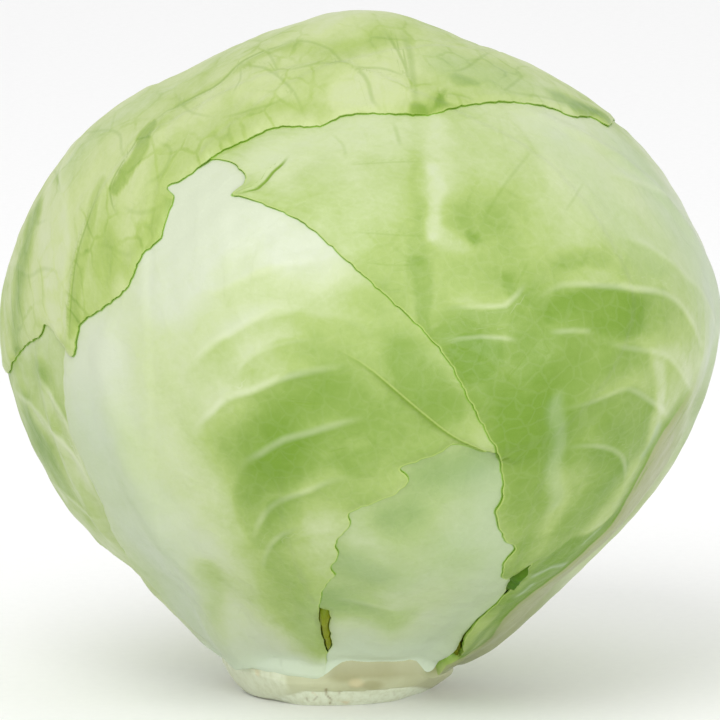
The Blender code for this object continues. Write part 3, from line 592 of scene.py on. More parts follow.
class CabbageColours(bpy.types.PropertyGroup):
    """Colours of leaf and stem."""

    white: colour_setting("White leaf", "Palest leaf, by the ribs", (0.52, 0.57, 0.42))
    pale: colour_setting("Pale leaf", "Pale leaf", (0.46, 0.535, 0.28))
    light: colour_setting("Light green", "Light green blade", (0.33, 0.435, 0.125))
    green: colour_setting("Green", "Green blade", (0.205, 0.32, 0.048))
    deep: colour_setting("Deep green", "Deepest green", (0.14, 0.26, 0.01))
    # Also carries painted reflection and highlights on the right leaf and painted shade on the left leaf's
    # midrib
    cool: colour_setting("Cool leaf", "Bluish pale leaf low down", (0.38, 0.475, 0.31))
    vein: colour_setting("Vein", "Side veins and ribs", (0.62, 0.67, 0.46))
    # Darker green of the creases, deepened as painted shade in their grooves
    crease: colour_setting("Crease", "Bruised green in the creases", (0.16, 0.28, 0.012))
    # The leaves' own pale bases, made lighter still as painted light where the bases face down
    pale_base_and_painted_light: colour_setting("Leaf base", "Pale end of a leaf by the stem", (0.625, 0.715, 0.57))
    flesh: colour_setting("Stem flesh", "Stem below the leaves", (0.53, 0.55, 0.35))
    tan: colour_setting("Tan flesh", "Browner flesh at the front of the stem", (0.36, 0.35, 0.18))
    warm: colour_setting("Warm specks", "Small orange specks on the stem", (0.66, 0.54, 0.30))
    cut: colour_setting("Cut flesh", "Freshly trimmed stem", (0.76, 0.81, 0.64))
    scar: colour_setting("Scar", "Dried scars on the stem", (0.28, 0.22, 0.10))
    # Painted shade: the darkness deep in the slit at the right, on the inner leaves
    slit_shade: colour_setting("Slit", "Dark green in the slit at the right", (0.06, 0.16, 0.003))
    strip: colour_setting("Rib strip", "Wide rib at the right", (0.34, 0.355, 0.19))
    # Painted highlight on a free edge's rim and on the fold's upper side, where the edge catches the light
    rim: colour_setting("Rim", "Pale rim of a free edge", (0.40, 0.52, 0.13))
    # Painted shade under the edge of a leaf above, and on a leaf's hidden inner face
    shadow: colour_setting("Shadow", "Green under a free edge", (0.20, 0.40, 0.01))
    # Olive of the inner leaves, darkened as painted shade deep in the gaps
    olive_and_gap_shade: colour_setting("Deep gap", "Olive leaf deep between others", (0.19, 0.22, 0.003))


class StudioSettings(bpy.types.PropertyGroup):
    """Camera, light and floor."""

    distance: bpy.props.FloatProperty(
        name="Camera distance", description="From the camera to the head", default=3.2, unit="LENGTH"
    )
    floor: bpy.props.FloatProperty(
        name="Floor size", description="Side of the square floor", default=12.0, unit="LENGTH"
    )
    key_power: bpy.props.FloatProperty(
        name="Key power", description="Power of the large light above", default=12.0, unit="POWER"
    )
    fill_power: bpy.props.FloatProperty(
        name="Fill power", description="Power of the light by the camera", default=12.0, unit="POWER"
    )
    sky: bpy.props.FloatProperty(name="Sky", description="Strength of the white surroundings", default=0.93)


# Head and front view

LEAN_UP = HEAD_CENTRE / np.linalg.norm(HEAD_CENTRE)
LEAN_BACK = np.array([0.0, 1.0, 0.0])
LEAN_RIGHT = np.cross(LEAN_BACK, LEAN_UP)
VIEW_RIGHT = np.array([1.0, 0.0, 0.0])
VIEW_UP = np.array([0.0, math.sin(VIEW_TILT), math.cos(VIEW_TILT)])
VIEW_AWAY = np.array([0.0, math.cos(VIEW_TILT), -math.sin(VIEW_TILT)])


def smooth(low, high, value):
    """Rises from 0 at low to 1 at high, level at both ends."""
    share = np.clip((value - low) / (high - low), 0.0, 1.0)
    return share * share * (3.0 - 2.0 * share)


def unit(vectors):
    """Vectors of the same directions and of length 1."""
    return vectors / np.linalg.norm(vectors, axis=-1, keepdims=True)


def profile(angles, radii):
    """The smooth curve through radii, which stand PROFILE_STEP degrees apart."""
    slopes = np.gradient(radii)
    slopes[[0, -1]] = 0.0
    place = np.clip(angles / PROFILE_STEP, 0.0, len(radii) - 1.000001)
    low = place.astype(int)
    t = place - low
    return (
        radii[low] * (1 + 2 * t) * (1 - t) ** 2
        + slopes[low] * t * (1 - t) ** 2
        + radii[low + 1] * t * t * (3 - 2 * t)
        + slopes[low + 1] * t * t * (t - 1)
    )


def head_angles(directions):
    """Angle round the stem (0 right, 90 back) and angle up from the stem, both in radians."""
    turn = np.arctan2(directions @ LEAN_BACK, directions @ LEAN_RIGHT)
    rise = np.arccos(np.clip(-(directions @ LEAN_UP), -1.0, 1.0))
    return turn, rise


def swell(directions, waves):
    """Sum of sine waves across the head, each of a height, a wave vector and a phase."""
    return sum(height * np.sin(directions @ np.array(wave) + phase) for height, wave, phase in waves)


def head_radius(directions):
    """Radius of the wrapped head: two profiles blended round the stem, with low swells."""
    turn, rise = head_angles(directions)
    share = (1.0 + np.cos(turn)) / 2.0
    degrees = np.degrees(rise)
    radius = share * profile(degrees, RIGHT_RADII) + (1.0 - share) * profile(degrees, LEFT_RADII)
    radius = radius * (1.0 - DEPTH_LOSS * (np.sin(turn) * np.sin(rise)) ** 2)
    return radius + swell(directions, SWELLS)


def frontness(turn):
    """1 where the front inner leaf grows from the stem, 0 elsewhere round it."""
    apart = np.degrees(np.arccos(np.clip(np.cos(turn - math.radians(FRONT_TURN)), -1.0, 1.0)))
    return 1.0 - smooth(*FRONT_SPREAD, apart)


def heart_radius(directions):
    """Radius that the innermost leaf lies on, sunk where the thick leaf bases need room."""
    turn, rise = head_angles(directions)
    sink = (BASE_SINK + FRONT_SINK * frontness(turn)) * (1.0 - smooth(*BASE_SINK_ANGLES, np.degrees(rise)))
    return head_radius(directions) - WRAP_DEPTH - sink


def skin_radius(directions):
    """Radius of the leaves' outer faces, near enough for placing what shows on them."""
    _, rise = head_angles(directions)
    sink = BASE_SINK * (1.0 - smooth(*BASE_SINK_ANGLES, np.degrees(rise)))
    return head_radius(directions) - SKIN_DEPTH - sink


def around(points):
    """Directions given as (degrees round the stem, degrees up from the stem)."""
    turn, rise = np.radians(np.array(points, dtype=float)).T[:, :, None]
    return np.sin(rise) * (np.cos(turn) * LEAN_RIGHT + np.sin(turn) * LEAN_BACK) - np.cos(rise) * LEAN_UP


def front(points, out=0.0):
    """Directions to points of the front view, on the near side of the head and that far out from its skin."""
    right, up = (np.array(points, dtype=float) - (HEAD_CENTRE @ VIEW_RIGHT, HEAD_CENTRE @ VIEW_UP)).T
    radius = np.full(len(points), MAP_RADIUS)
    for _ in range(6):
        depth = np.sqrt(np.maximum(radius**2 - right**2 - up**2, 0.0))
        directions = unit(np.outer(right, VIEW_RIGHT) + np.outer(up, VIEW_UP) - np.outer(depth, VIEW_AWAY))
        radius = skin_radius(directions) + out
    return directions


def in_front(pixels):
    """Places in the plane of the front view, in millimetres right and up, of pixels of the photograph."""
    return (np.array(pixels, dtype=float) - PHOTO_ORIGIN) * (PIXEL, -PIXEL)


def seen(pixels, out=0.0):
    """Directions to pixels of the photograph, on the near side of the head and that far out from its skin."""
    return front(in_front(pixels), out)


def base_arc(first, last, rise=BASE_ANGLE):
    """The end of a leaf at the stem, from one angle round the stem to another."""
    count = max(3, round(abs(last - first) / BASE_ARC_STEP) + 1)
    return around([(turn, rise) for turn in np.linspace(first, last, count)])


# Curves on a flat map


def smooth_curve(points, step, closed=False):
    """Points about step apart on a smooth curve that keeps every point given (centripetal)."""
    if closed:
        points = np.vstack([points[-1:], points, points[:2]])
    else:
        points = np.vstack([2 * points[0] - points[1], points, 2 * points[-1] - points[-2]])
    runs = []
    for p0, p1, p2, p3 in zip(points, points[1:], points[2:], points[3:]):
        k1 = math.sqrt(np.linalg.norm(p1 - p0))
        k2 = k1 + math.sqrt(np.linalg.norm(p2 - p1))
        k3 = k2 + math.sqrt(np.linalg.norm(p3 - p2))
        count = max(1, round(np.linalg.norm(p2 - p1) / step))
        k = np.linspace(k1, k2, count, endpoint=False)[:, None]
        a1 = (k1 - k) / k1 * p0 + k / k1 * p1
        a2 = (k2 - k) / (k2 - k1) * p1 + (k - k1) / (k2 - k1) * p2
        a3 = (k3 - k) / (k3 - k2) * p2 + (k - k2) / (k3 - k2) * p3
        b1 = (k2 - k) / k2 * a1 + k / k2 * a2
        b2 = (k3 - k) / (k3 - k1) * a2 + (k - k1) / (k3 - k1) * a3
        runs.append((k2 - k) / (k2 - k1) * b1 + (k - k1) / (k2 - k1) * b2)
    if not closed:
        runs.append(points[-2:-1])
    return np.vstack(runs)


def nicked(outline):
    """A closed outline with small irregular waves across it, as a leaf's edge has."""
    run = np.roll(outline, -1, axis=0) - np.roll(outline, 1, axis=0)
    out = unit(np.stack([run[:, 1], -run[:, 0]], axis=1))
    along = np.cumsum(np.linalg.norm(np.roll(outline, -1, axis=0) - outline, axis=1))
    wave = sum(size * np.sin(2.0 * math.pi * along / length + phase) for size, length, phase in EDGE_NICKS)
    return outline + out * wave[:, None]


def line_length(line):
    """Length of a line of points."""
    return np.linalg.norm(np.diff(line, axis=0), axis=1).sum()


def to_line(places, line, reach=REACH):
    """Distance to a line of points up to reach, which side (+1 left of its run), how far along it, and
    the nearest point. The places are taken in chunks, and each chunk looks only at the runs near it."""
    start, end = line[:-1], line[1:]
    run = end - start
    length = np.linalg.norm(run, axis=1)
    before = np.concatenate([[0.0], np.cumsum(length)[:-1]])
    distance = np.full(len(places), reach)
    side = np.ones(len(places))
    along = np.zeros(len(places))
    nearest = places.copy()
    for rows in np.array_split(np.arange(len(places)), len(places) // CHUNK + 1):
        here = places[rows]
        low, high = here.min(axis=0) - reach, here.max(axis=0) + reach
        near = ((np.maximum(start, end) > low) & (np.minimum(start, end) < high)).all(axis=1)
        if not near.any():
            continue
        offset = here[:, None, :] - start[near][None, :, :]
        share = np.clip((offset * run[near]).sum(axis=2) / length[near] ** 2, 0.0, 1.0)
        gap = offset - share[:, :, None] * run[near]
        spans = np.einsum("ijk,ijk->ij", gap, gap)
        best = spans.argmin(axis=1)
        count = np.arange(len(rows))
        found = np.sqrt(spans[count, best])
        close = found < reach
        number = np.flatnonzero(near)[best]
        cross = run[number, 0] * gap[count, best, 1] - run[number, 1] * gap[count, best, 0]
        distance[rows] = np.minimum(found, reach)
        side[rows] = np.where(cross >= 0.0, 1.0, -1.0)
        along[rows] = before[number] + share[count, best] * length[number]
        nearest[rows] = np.where(close[:, None], here - gap[count, best], here)
    return distance, side, along, nearest


def inside(places, outline):
    """Which places lie inside a closed outline, by counting crossings."""
    x1, y1 = outline.T
    x2, y2 = np.roll(outline, -1, axis=0).T
    rise = np.where(y2 == y1, 1e-12, y2 - y1)
    found = []
    for here in np.array_split(places, len(places) // CHUNK + 1):
        x, y = here[:, 0, None], here[:, 1, None]
        crossed = ((y1 > y) != (y2 > y)) & (x < (x2 - x1) * (y - y1) / rise + x1)
        found.append(crossed.sum(axis=1) % 2 == 1)
    return np.concatenate(found)


def along_share(along, length):
    """Share of a line's strength at a place along it: 0 at both ends, and full further in."""
    return smooth(0.0, MARK_END_SHARE * length, np.minimum(along, length - along))


def nearest_line(places, lines):
    """Signed distance to the nearest of some lines, in its half widths, and that line's strength there.

    The strength is 0 at a line's ends and from LINE_REACH half widths on, where the distance may jump.
    """
    across = np.full(len(places), LINE_REACH)
    share = np.zeros(len(places))
    for line, half_width, strength in lines:
        distance, side, along, _ = to_line(places, line, LINE_REACH * half_width)
        span = distance / half_width
        here = strength * along_share(along, line_length(line)) * (1.0 - smooth(LINE_FULL, LINE_REACH, span))
        nearer = span < np.abs(across)
        across = np.where(nearer, side * span, across)
        share = np.where(nearer, here, share)
    return across, share


class Leaf:
    """One leaf: its map, outline, ribs and marks. The map keeps distances from its centre true."""

    def __init__(self, name, slot, sizes, centre, outline, midrib, rib, base):
        """The centre is (turn, rise), the rib is (height, half width) and the base (thickness, reach)."""
        self.name = name
        self.slot = slot
        self.centre = around([centre])[0]
        self.map_up = unit(LEAN_UP - (LEAN_UP @ self.centre) * self.centre)
        self.map_right = np.cross(self.map_up, self.centre)
        self.outline = nicked(smooth_curve(self.to_map(outline), OUTLINE_STEP, closed=True))
        self.midrib = smooth_curve(self.to_map(midrib), RIB_STEP)
        self.rib_height, self.rib_half_width = rib
        self.base_extra, self.base_reach = base
        self.blade = sizes.blade / MM
        self.gap = sizes.gap / MM
        self.vein_height = sizes.vein_height / MM
        self.edge_lift = sizes.edge_lift / MM
        self.grid = sizes.grid / MM
        self.veins = []
        self.fold = None
        self.rib_edge = None
        self.creases = NO_MARKS
        self.patches = NO_MARKS
        self.cells = NO_MARKS
        self.vein_top = 1.0
        self.coolness = 0.0
        self.cool_marks = NO_MARKS
        self.greenness = 0.5
        self.base_fade = 14.0
        self.stands_out = 0.0
        self.above = []
        self.below = []

    def to_map(self, directions):
        """Places on the map of directions from the head's centre."""
        angle = np.arccos(np.clip(directions @ self.centre, -1.0, 1.0))
        flat = np.stack([directions @ self.map_right, directions @ self.map_up], axis=1)
        return flat * (MAP_RADIUS * angle / np.maximum(np.sin(angle), 1e-9))[:, None]

    def from_map(self, places):
        """Directions from the head's centre of places on the map."""
        length = np.linalg.norm(places, axis=1, keepdims=True)
        angle = length / MAP_RADIUS
        sideways = places[:, :1] * self.map_right + places[:, 1:] * self.map_up
        return np.cos(angle) * self.centre + np.sin(angle) * sideways / np.maximum(length, 1e-9)

    def seen_line(self, pixels):
        """A smooth line on the map through pixels of the photograph."""
        return smooth_curve(self.to_map(seen(pixels, self.stands_out)), RIB_STEP)

    def traced(self, marks):
        """Marks as lines on the map, each with its half width and strength."""
        return [(self.seen_line(pixels), half_width, strength) for pixels, half_width, strength in marks]

    def edge_distance(self, places):
        """Distance to the outline, below 0 inside the leaf."""
        distance = to_line(places, np.vstack([self.outline, self.outline[:1]]))[0]
        return np.where(inside(places, self.outline), -distance, distance)

    def bareness(self, spots):
        """1 where no leaf lies above this one, 0 under one."""
        bare = np.ones(len(spots.directions))
        for leaf in self.above:
            bare = bare * smooth(BARE_START, BARE_END, spots.edge[leaf.name])
        return bare

    def vein_profile(self, spots):
        """Height of the side veins, as a share of the full height."""
        places = spots.places[self.name]
        height = np.zeros(len(places))
        for line, _, strength in self.veins:
            distance, _, along, _ = to_line(places, line)
            size = min(1.0, 2.0 * strength) * along_share(along, line_length(line))
            height = np.maximum(height, size * (1.0 - smooth(0.0, VEIN_HALF_WIDTH, distance)))
        return height

    def rib_profile(self, spots):
        """Height of the midrib, which thins towards the tip, as a share of its height at the base."""
        distance, _, along, _ = to_line(spots.places[self.name], self.midrib, 2.0 * REACH)
        size = 1.0 - (1.0 - RIB_TIP_SHARE) * along / line_length(self.midrib)
        return size**RIB_TAPER * (1.0 - smooth(0.0, 1.0, distance / (self.rib_half_width * size)))

    def relief(self, spots):
        """How far the midrib and the side veins stand out of the blade."""
        return np.maximum(
            self.rib_height * self.rib_profile(spots), self.vein_height * self.vein_profile(spots)
        )

    def thickness(self, spots):
        """The blade, thinner at its edge, with the thick base and the ribs where no leaf lies over them."""
        from_base = np.linalg.norm(spots.places[self.name] - self.midrib[0], axis=1)
        base = self.base_extra * (1.0 - smooth(0.0, self.base_reach, from_base))
        taper = EDGE_SHARE + (1.0 - EDGE_SHARE) * smooth(0.0, EDGE_TAPER, -spots.edge[self.name])
        return self.blade * taper + base + self.relief(spots) * self.bareness(spots)

    def lift(self, spots, spread=0.0):
        """How far the leaf stands off what it lies on: at its free edge and along its fold.

        The fold's step may be spread, for a leaf that lies over it.
        """
        edge = 1.0 - smooth(0.0, EDGE_LIFT_REACH, -spots.edge[self.name])
        lift = self.edge_lift * edge * self.bareness(spots)
        if self.fold is not None:
            distance, side, along, _ = to_line(spots.places[self.name], self.fold, FOLD_REACH)
            step = smooth(-FOLD_RUN - spread, -spread, side * distance)
            reach = 1.0 - smooth(0.0, FOLD_REACH, distance)
            lift = lift + FOLD_HEIGHT * step * reach * smooth(0.0, FOLD_FADE, along)
        return lift

    def inner_radius(self, spots):
        """Radius of the face towards the head: the heart, the leaves below and the leaf's own lift."""
        radius = heart_radius(spots.directions)
        for leaf in self.below:
            cover = 1.0 - smooth(COVER_START, COVER_END, spots.edge[leaf.name])
            radius = radius + (leaf.thickness(spots) + leaf.lift(spots, FOLD_SPREAD) + self.gap) * cover
        return radius + self.lift(spots)

    def add_side_veins(self, shares, sides):
        """Veins that leave the midrib at shares of its length and bend forward on their way to the edge."""
        run = unit(np.gradient(self.midrib, axis=0))
        left = np.stack([-run[:, 1], run[:, 0]], axis=1)
        out = np.arange(0.0, 2.0 * MAP_RADIUS, RIB_STEP)[:, None]
        forward = VEIN_FORWARD[0] * out + VEIN_FORWARD[1] * out**2
        for share in shares:
            root = round(share * (len(self.midrib) - 1))
            for side in sides:
                vein = self.midrib[root] + side * out * left[root] + forward * run[root]
                room = np.where(inside(vein, self.outline), to_line(vein, self.outline)[0], 0.0)
                ends = np.flatnonzero(room < VEIN_MARGIN)
                self.veins.append((vein[: ends[0]] if len(ends) else vein, *SIDE_VEIN))


class Spots:
    """Directions from the head's centre, with every leaf's map place and edge distance there."""

    def __init__(self, directions, leaves):
        self.directions = directions
        self.places = {leaf.name: leaf.to_map(directions) for leaf in leaves}
        self.edge = {leaf.name: leaf.edge_distance(self.places[leaf.name]) for leaf in leaves}


# Leaves, from the inside out


def front_inner_leaf(sizes):
    """The pale leaf low in front, which its neighbours cover at both sides and above."""
    base = base_arc(-100, -50, FRONT_BASE_ANGLE)
    hidden = [(52, 58), (45, 76), (27, 87), (6, 85), (-9, 70), (-14, 50), (-10, 32)]
    outline = np.vstack([base, front(FRONT_RIGHT_EDGE), front(hidden), front(FRONT_LEFT_EDGE)])
    midrib = front([(12, 9), (17, 30), (19, 50), (17, 70)])
    leaf = Leaf(
        "leaf_front_inner", "pale_leaf", sizes, (-68, 60), outline, midrib, rib=(0.8, 9.0), base=(1.2, 40.0)
    )
    leaf.veins = leaf.traced(FRONT_INNER_VEINS)
    leaf.patches = FRONT_INNER_PATCHES
    leaf.coolness = 0.35
    leaf.cool_marks = FRONT_INNER_COOL
    # Its pale base, lightened as painted light, reaches further up
    leaf.base_fade = 20.0
    leaf.greenness = 0.6
    return leaf


def back_left_leaf(sizes):
    """The outer leaf behind on the left, of which a sliver shows."""
    left = [(206, 30), (211, 45), (206, 66), (190, 86)]
    right = [(162, 98), (136, 96), (120, 80), (114, 58), (122, 36)]
    midrib = around([(162, 21), (158, 50), (151, 75), (151, 94)])
    outline = np.vstack([base_arc(136, 196), around(left), around(right)])
    leaf = Leaf(
        "leaf_back_left", "green_leaf", sizes, (150, 60), outline, midrib, rib=(2.0, 8.0), base=(1.6, 40.0)
    )
    leaf.add_side_veins((0.2, 0.5), (1.0, -1.0))
    return leaf


def far_left_leaf(sizes):
    """The leaf at the left outline, below the cap."""
    left = [(222, 36), (232, 62), (234, 92), (222, 122), (200, 138)]
    right = [(172, 136), (152, 118), (147, 95), (160, 72)]
    midrib = around([(205, 21), (210, 48), (206, 78), (198, 108), (188, 130)])
    outline = np.vstack([base_arc(194, 219), around(left), around(right), front(FAR_LEFT_LOW_EDGE)])
    leaf = Leaf(
        "leaf_far_left", "green_leaf", sizes, (185, 80), outline, midrib, rib=(1.8, 7.0), base=(1.4, 36.0)
    )
    leaf.veins = leaf.traced(FAR_LEFT_VEINS)
    leaf.patches = FAR_LEFT_PATCHES
    leaf.greenness = 0.62
    return leaf


def left_leaf(sizes):
    """The large pale leaf in front on the left, with its midrib on the left and a fold on the right."""
    right = around([(-53, 84), (-40, 104), (-45, 130), (-75, 150)])
    left = around([(-108, 158), (-136, 150), (-150, 132), (-150, 112)])
    foot = around([(-156, 33), (-150, 25)])
    base = base_arc(-145, -98)
    outline = np.vstack([base, front(LEFT_FREE_EDGE), right, left, front(LEFT_OUTER_EDGE), foot])
    midrib = front(LEFT_MIDRIB)
    leaf = Leaf(
        "leaf_left", "pale_leaf", sizes, (-108, 92), outline, midrib, rib=(2.6, 14.0), base=(1.6, 40.0)
    )
    leaf.veins = leaf.traced(LEFT_VEINS)
    leaf.fold = leaf.seen_line(LEFT_FOLD)
    leaf.creases = LEFT_CREASES
    leaf.patches = LEFT_PATCHES
    leaf.cells = LEFT_CELLS
    leaf.cool_marks = LEFT_COOL_AND_SHADE
    leaf.greenness = 0.42
    leaf.base_fade = 10.0
    return leaf


def right_leaf(sizes):
    """The large leaf on the right, whose wide midrib is at the right outline."""
    back = [(52, 32), (66, 55), (72, 88), (62, 120), (34, 148)]
    top = [(-10, 162), (-62, 166), (-104, 160), (-126, 146)]
    midrib = around([(2, 21), (0, 45), (-3, 75), (-6, 100), (-22, 130), (-55, 150)])
    outline = np.vstack([base_arc(-30, 40), around(back), around(top), front(RIGHT_FREE_EDGE)])
    leaf = Leaf(
        "leaf_right", "green_leaf", sizes, (-22, 100), outline, midrib, rib=(3.0, 12.0), base=(2.6, 50.0)
    )
    leaf.veins = leaf.traced(RIGHT_VEINS)
    leaf.add_side_veins((0.14, 0.3, 0.46, 0.62), (-1.0,))
    leaf.rib_edge = leaf.seen_line(RIGHT_RIB_EDGE)
    leaf.creases = RIGHT_CREASES
    leaf.patches = RIGHT_PATCHES
    leaf.cells = RIGHT_CELLS
    leaf.cool_marks = RIGHT_COOL_AND_SHEEN
    leaf.vein_top = -1.0
    leaf.base_fade = 0.8
    leaf.grid = sizes.right_grid / MM
    return leaf


def cap_leaf(sizes):
    """The leaf that comes up the back and over the top."""
    left = [(140, 42), (154, 60), (166, 76)]
    right = [(26, 126), (38, 102), (46, 70), (49, 44)]
    midrib = around([(86, 21), (91, 55), (97, 95), (104, 135), (118, 168)])
    free = front(CAP_FREE_EDGE, CAP_STANDS_OUT)
    outline = np.vstack([base_arc(46, 134), around(left), free, around(right)])
    leaf = Leaf(
        "leaf_cap", "cap_leaf", sizes, (100, 125), outline, midrib, rib=(3.2, 12.0), base=(2.0, 40.0)
    )
    leaf.add_side_veins((0.1, 0.26, 0.43, 0.6), (1.0, -1.0))
    leaf.stands_out = CAP_STANDS_OUT
    leaf.cool_marks = CAP_COOL
    leaf.creases = CAP_CREASES
    leaf.patches = CAP_PATCHES
    leaf.cells = CAP_CELLS
    leaf.greenness = 0.38
    leaf.grid = sizes.cap_grid / MM
    return leaf


def all_leaves(sizes):
    """The leaves from the inside out, each with those below and above it."""
    makers = (front_inner_leaf, back_left_leaf, far_left_leaf, left_leaf, right_leaf, cap_leaf)
    leaves = [maker(sizes) for maker in makers]
    for number, leaf in enumerate(leaves):
        leaf.below = leaves[:number]
        leaf.above = leaves[number + 1:]
    return leaves


# Meshes


def add_mesh(name, vertices, faces, attributes, uv=None):
    """A mesh object from whole arrays: points in millimetres, faces of four corners, point attributes."""
    mesh = bpy.data.meshes.new(name)
    mesh.vertices.add(len(vertices))
    mesh.vertices.foreach_set("co", (vertices * MM).ravel())
    mesh.loops.add(faces.size)
    mesh.loops.foreach_set("vertex_index", faces.ravel())
    mesh.polygons.add(len(faces))
    mesh.polygons.foreach_set("loop_start", np.arange(len(faces)) * 4)
    mesh.update(calc_edges=True)
    for label, values in attributes.items():
        mesh.attributes.new(label, "FLOAT", "POINT").data.foreach_set("value", values.astype(np.float32))
    if uv is not None:
        layer = mesh.uv_layers.new(name="leaf_map")
        layer.data.foreach_set("uv", (uv[faces.ravel()] * MM).astype(np.float32).ravel())
    mesh.shade_smooth()
    mesh.set_sharp_from_angle(angle=SHARP_ANGLE)
    piece = bpy.data.objects.new(name, mesh)
    bpy.context.scene.collection.objects.link(piece)
    return piece


def trimmed_grid(leaf):
    """Map places of a square grid trimmed to the leaf's outline, its cells, and its border's runs.

    A cell stays where all its corners are inside the outline or less than half a cell outside it, and
    the places round the border of what stays are moved onto the outline.
    """
    low, high = leaf.outline.min(axis=0) - leaf.grid, leaf.outline.max(axis=0) + leaf.grid
    x, y = np.meshgrid(np.arange(low[0], high[0], leaf.grid), np.arange(low[1], high[1], leaf.grid))
    places = np.stack([x.ravel(), y.ravel()], axis=1)
    ring = np.vstack([leaf.outline, leaf.outline[:1]])
    distance, _, _, nearest = to_line(places, ring, 4.0 * leaf.grid)
    signed = np.where(inside(places, leaf.outline), -distance, distance).reshape(x.shape)
    near = signed < 0.5 * leaf.grid
    cells = near[:-1, :-1] & near[1:, :-1] & near[:-1, 1:] & near[1:, 1:]
    framed = np.pad(cells, 1)
    count = framed[:-1, :-1].astype(int) + framed[1:, :-1] + framed[:-1, 1:] + framed[1:, 1:]
    border = ((count > 0) & (count < 4)).ravel()
    places[border] = nearest[border]
    used = (count > 0).ravel()
    numbers = (np.cumsum(used) - 1).reshape(x.shape)
    a, b = numbers[:-1, :-1], numbers[:-1, 1:]
    c, d = numbers[1:, 1:], numbers[1:, :-1]
    faces = np.stack([a[cells], b[cells], c[cells], d[cells]], axis=1)
    runs = []
    shifts = ((0, -1, a, b), (1, 1, b, c), (0, 1, c, d), (1, -1, d, a))
    for axis, shift, first, second in shifts:
        neighbour = np.roll(framed, -shift, axis=axis)[1:-1, 1:-1]
        open_side = cells & ~neighbour
        runs.append(np.stack([first[open_side], second[open_side]], axis=1))
    return places[used], faces, np.vstack(runs)


def wavered(places):
    """Map places moved a little by waves, so that the edges of marks wander."""
    x, y = places.T
    shift = np.zeros(places.shape)
    for size, number, angle in WAVER:
        across = x * math.cos(angle) + y * math.sin(angle)
        along = y * math.cos(angle) - x * math.sin(angle)
        shift += size * np.stack([np.sin(number * along + angle), np.cos(number * across)], axis=1)
    return places + shift


def cells_at(leaf, places, cells):
    """Sum of the strengths of filled outlines, each with an edge as soft as its softness."""
    field = np.zeros(len(places))
    for pixels, softness, strength in cells:
        ring = smooth_curve(leaf.to_map(seen(pixels, leaf.stands_out)), OUTLINE_STEP, closed=True)
        distance = to_line(places, np.vstack([ring, ring[:1]]), 2.0 * softness)[0]
        depth = np.where(inside(places, ring), distance, -distance)
        field = field + strength * smooth(-softness, softness, depth)
    return field


def marks_at(leaf, places, marks):
    """Sum of the marks' strengths at each place: full on a mark's line and fading over its half width."""
    field = np.zeros(len(places))
    for line, half_width, strength in leaf.traced(marks):
        reach = MARK_REACH * half_width
        distance = to_line(places, line, reach)[0]
        field = field + strength * np.exp(-((distance / half_width) ** MARK_POWER)) * (distance < reach)
    return field


def fading(distance, tint, width):
    """A tint that is full at no distance and fades over a width."""
    return tint * np.exp(-((distance / width) ** 2))


def greenness_at(leaf, spots, wandering):
    """The leaf's own greenness, less by its midrib and base, paler above its veins as painted highlight and
    greener below them as painted shade, and as its patches and cells say."""
    places = spots.places[leaf.name]
    from_base = np.linalg.norm(places - leaf.midrib[0], axis=1)
    from_rib = to_line(places, leaf.midrib, 2.0 * REACH)[0]
    green = leaf.greenness - PALER_BY_RIB * (1.0 - smooth(*PALE_RIB_REACH, from_rib))
    green = green - PALER_BY_BASE * (1.0 - smooth(*PALE_BASE_REACH, from_base))
    green = green + swell(spots.directions, TONE_WAVES)
    green = green + marks_at(leaf, wandering, leaf.patches) + cells_at(leaf, wandering, leaf.cells)
    for line, _, strength in leaf.veins:
        distance, side, along, _ = to_line(wandering, line, VEIN_TINT_REACH)
        size = min(1.0, 2.0 * strength) * along_share(along, line_length(line)) * (distance < VEIN_TINT_REACH)
        # Paler above a vein as painted highlight, greener below it as painted shade
        upper = smooth(-TINT_TURN, TINT_TURN, side * leaf.vein_top * distance)
        tint = upper * fading(distance, *LIT_TINT_ABOVE_VEIN) + (1.0 - upper) * fading(distance, *SHADE_TINT_BELOW_VEIN)
        green = green + tint * size
    return green


def leaf_fields(leaf, spots, sizes):
    """Values that the material reads, and how far the outer face is moved by creases and quilting."""
    places = spots.places[leaf.name]
    wandering = wavered(places)
    bare = leaf.bareness(spots)
    vein, vein_share = nearest_line(places, leaf.veins)
    crease, crease_share = nearest_line(places, leaf.traced(leaf.creases))
    strip, strip_share = beside_line(places, leaf.rib_edge, RIB_EDGE_REACH)
    strip_share = strip_share * (1.0 - smooth(STRIP_REACH, RIB_EDGE_REACH, np.abs(strip)))
    step = RIB_EDGE_STEP * smooth(*RIB_EDGE_RISE, strip) * (1.0 - smooth(*RIB_EDGE_FADE, np.abs(strip)))
    fold, fold_share = beside_line(places, leaf.fold, FAR)
    from_upper = np.full(len(places), FAR)
    for upper in leaf.above:
        from_upper = np.minimum(from_upper, spots.edge[upper.name])
    quilt = sizes.quilting / MM * swell(spots.directions, QUILT_WAVES) * bare
    groove = crease_share * (1.0 - smooth(0.0, 2.0, np.abs(crease)))
    moved = quilt + step * bare - sizes.crease_depth / MM * groove
    fields = {
        "green": np.clip(greenness_at(leaf, spots, wandering), 0.0, 1.0),
        "vein": vein,
        "vein_share": vein_share,
        "cool": np.clip(leaf.coolness + marks_at(leaf, wandering, leaf.cool_marks), 0.0, 1.0),
        "crease": crease,
        "crease_share": crease_share,
        "strip": strip,
        "strip_share": strip_share,
        "fold": fold,
        "fold_share": fold_share,
        "from_upper": np.maximum(from_upper, -FAR),
        "from_edge": np.minimum(-spots.edge[leaf.name], FAR),
        "base": 1.0 - smooth(0.0, leaf.base_fade, from_base_arc(spots)),
    }
    return fields, moved


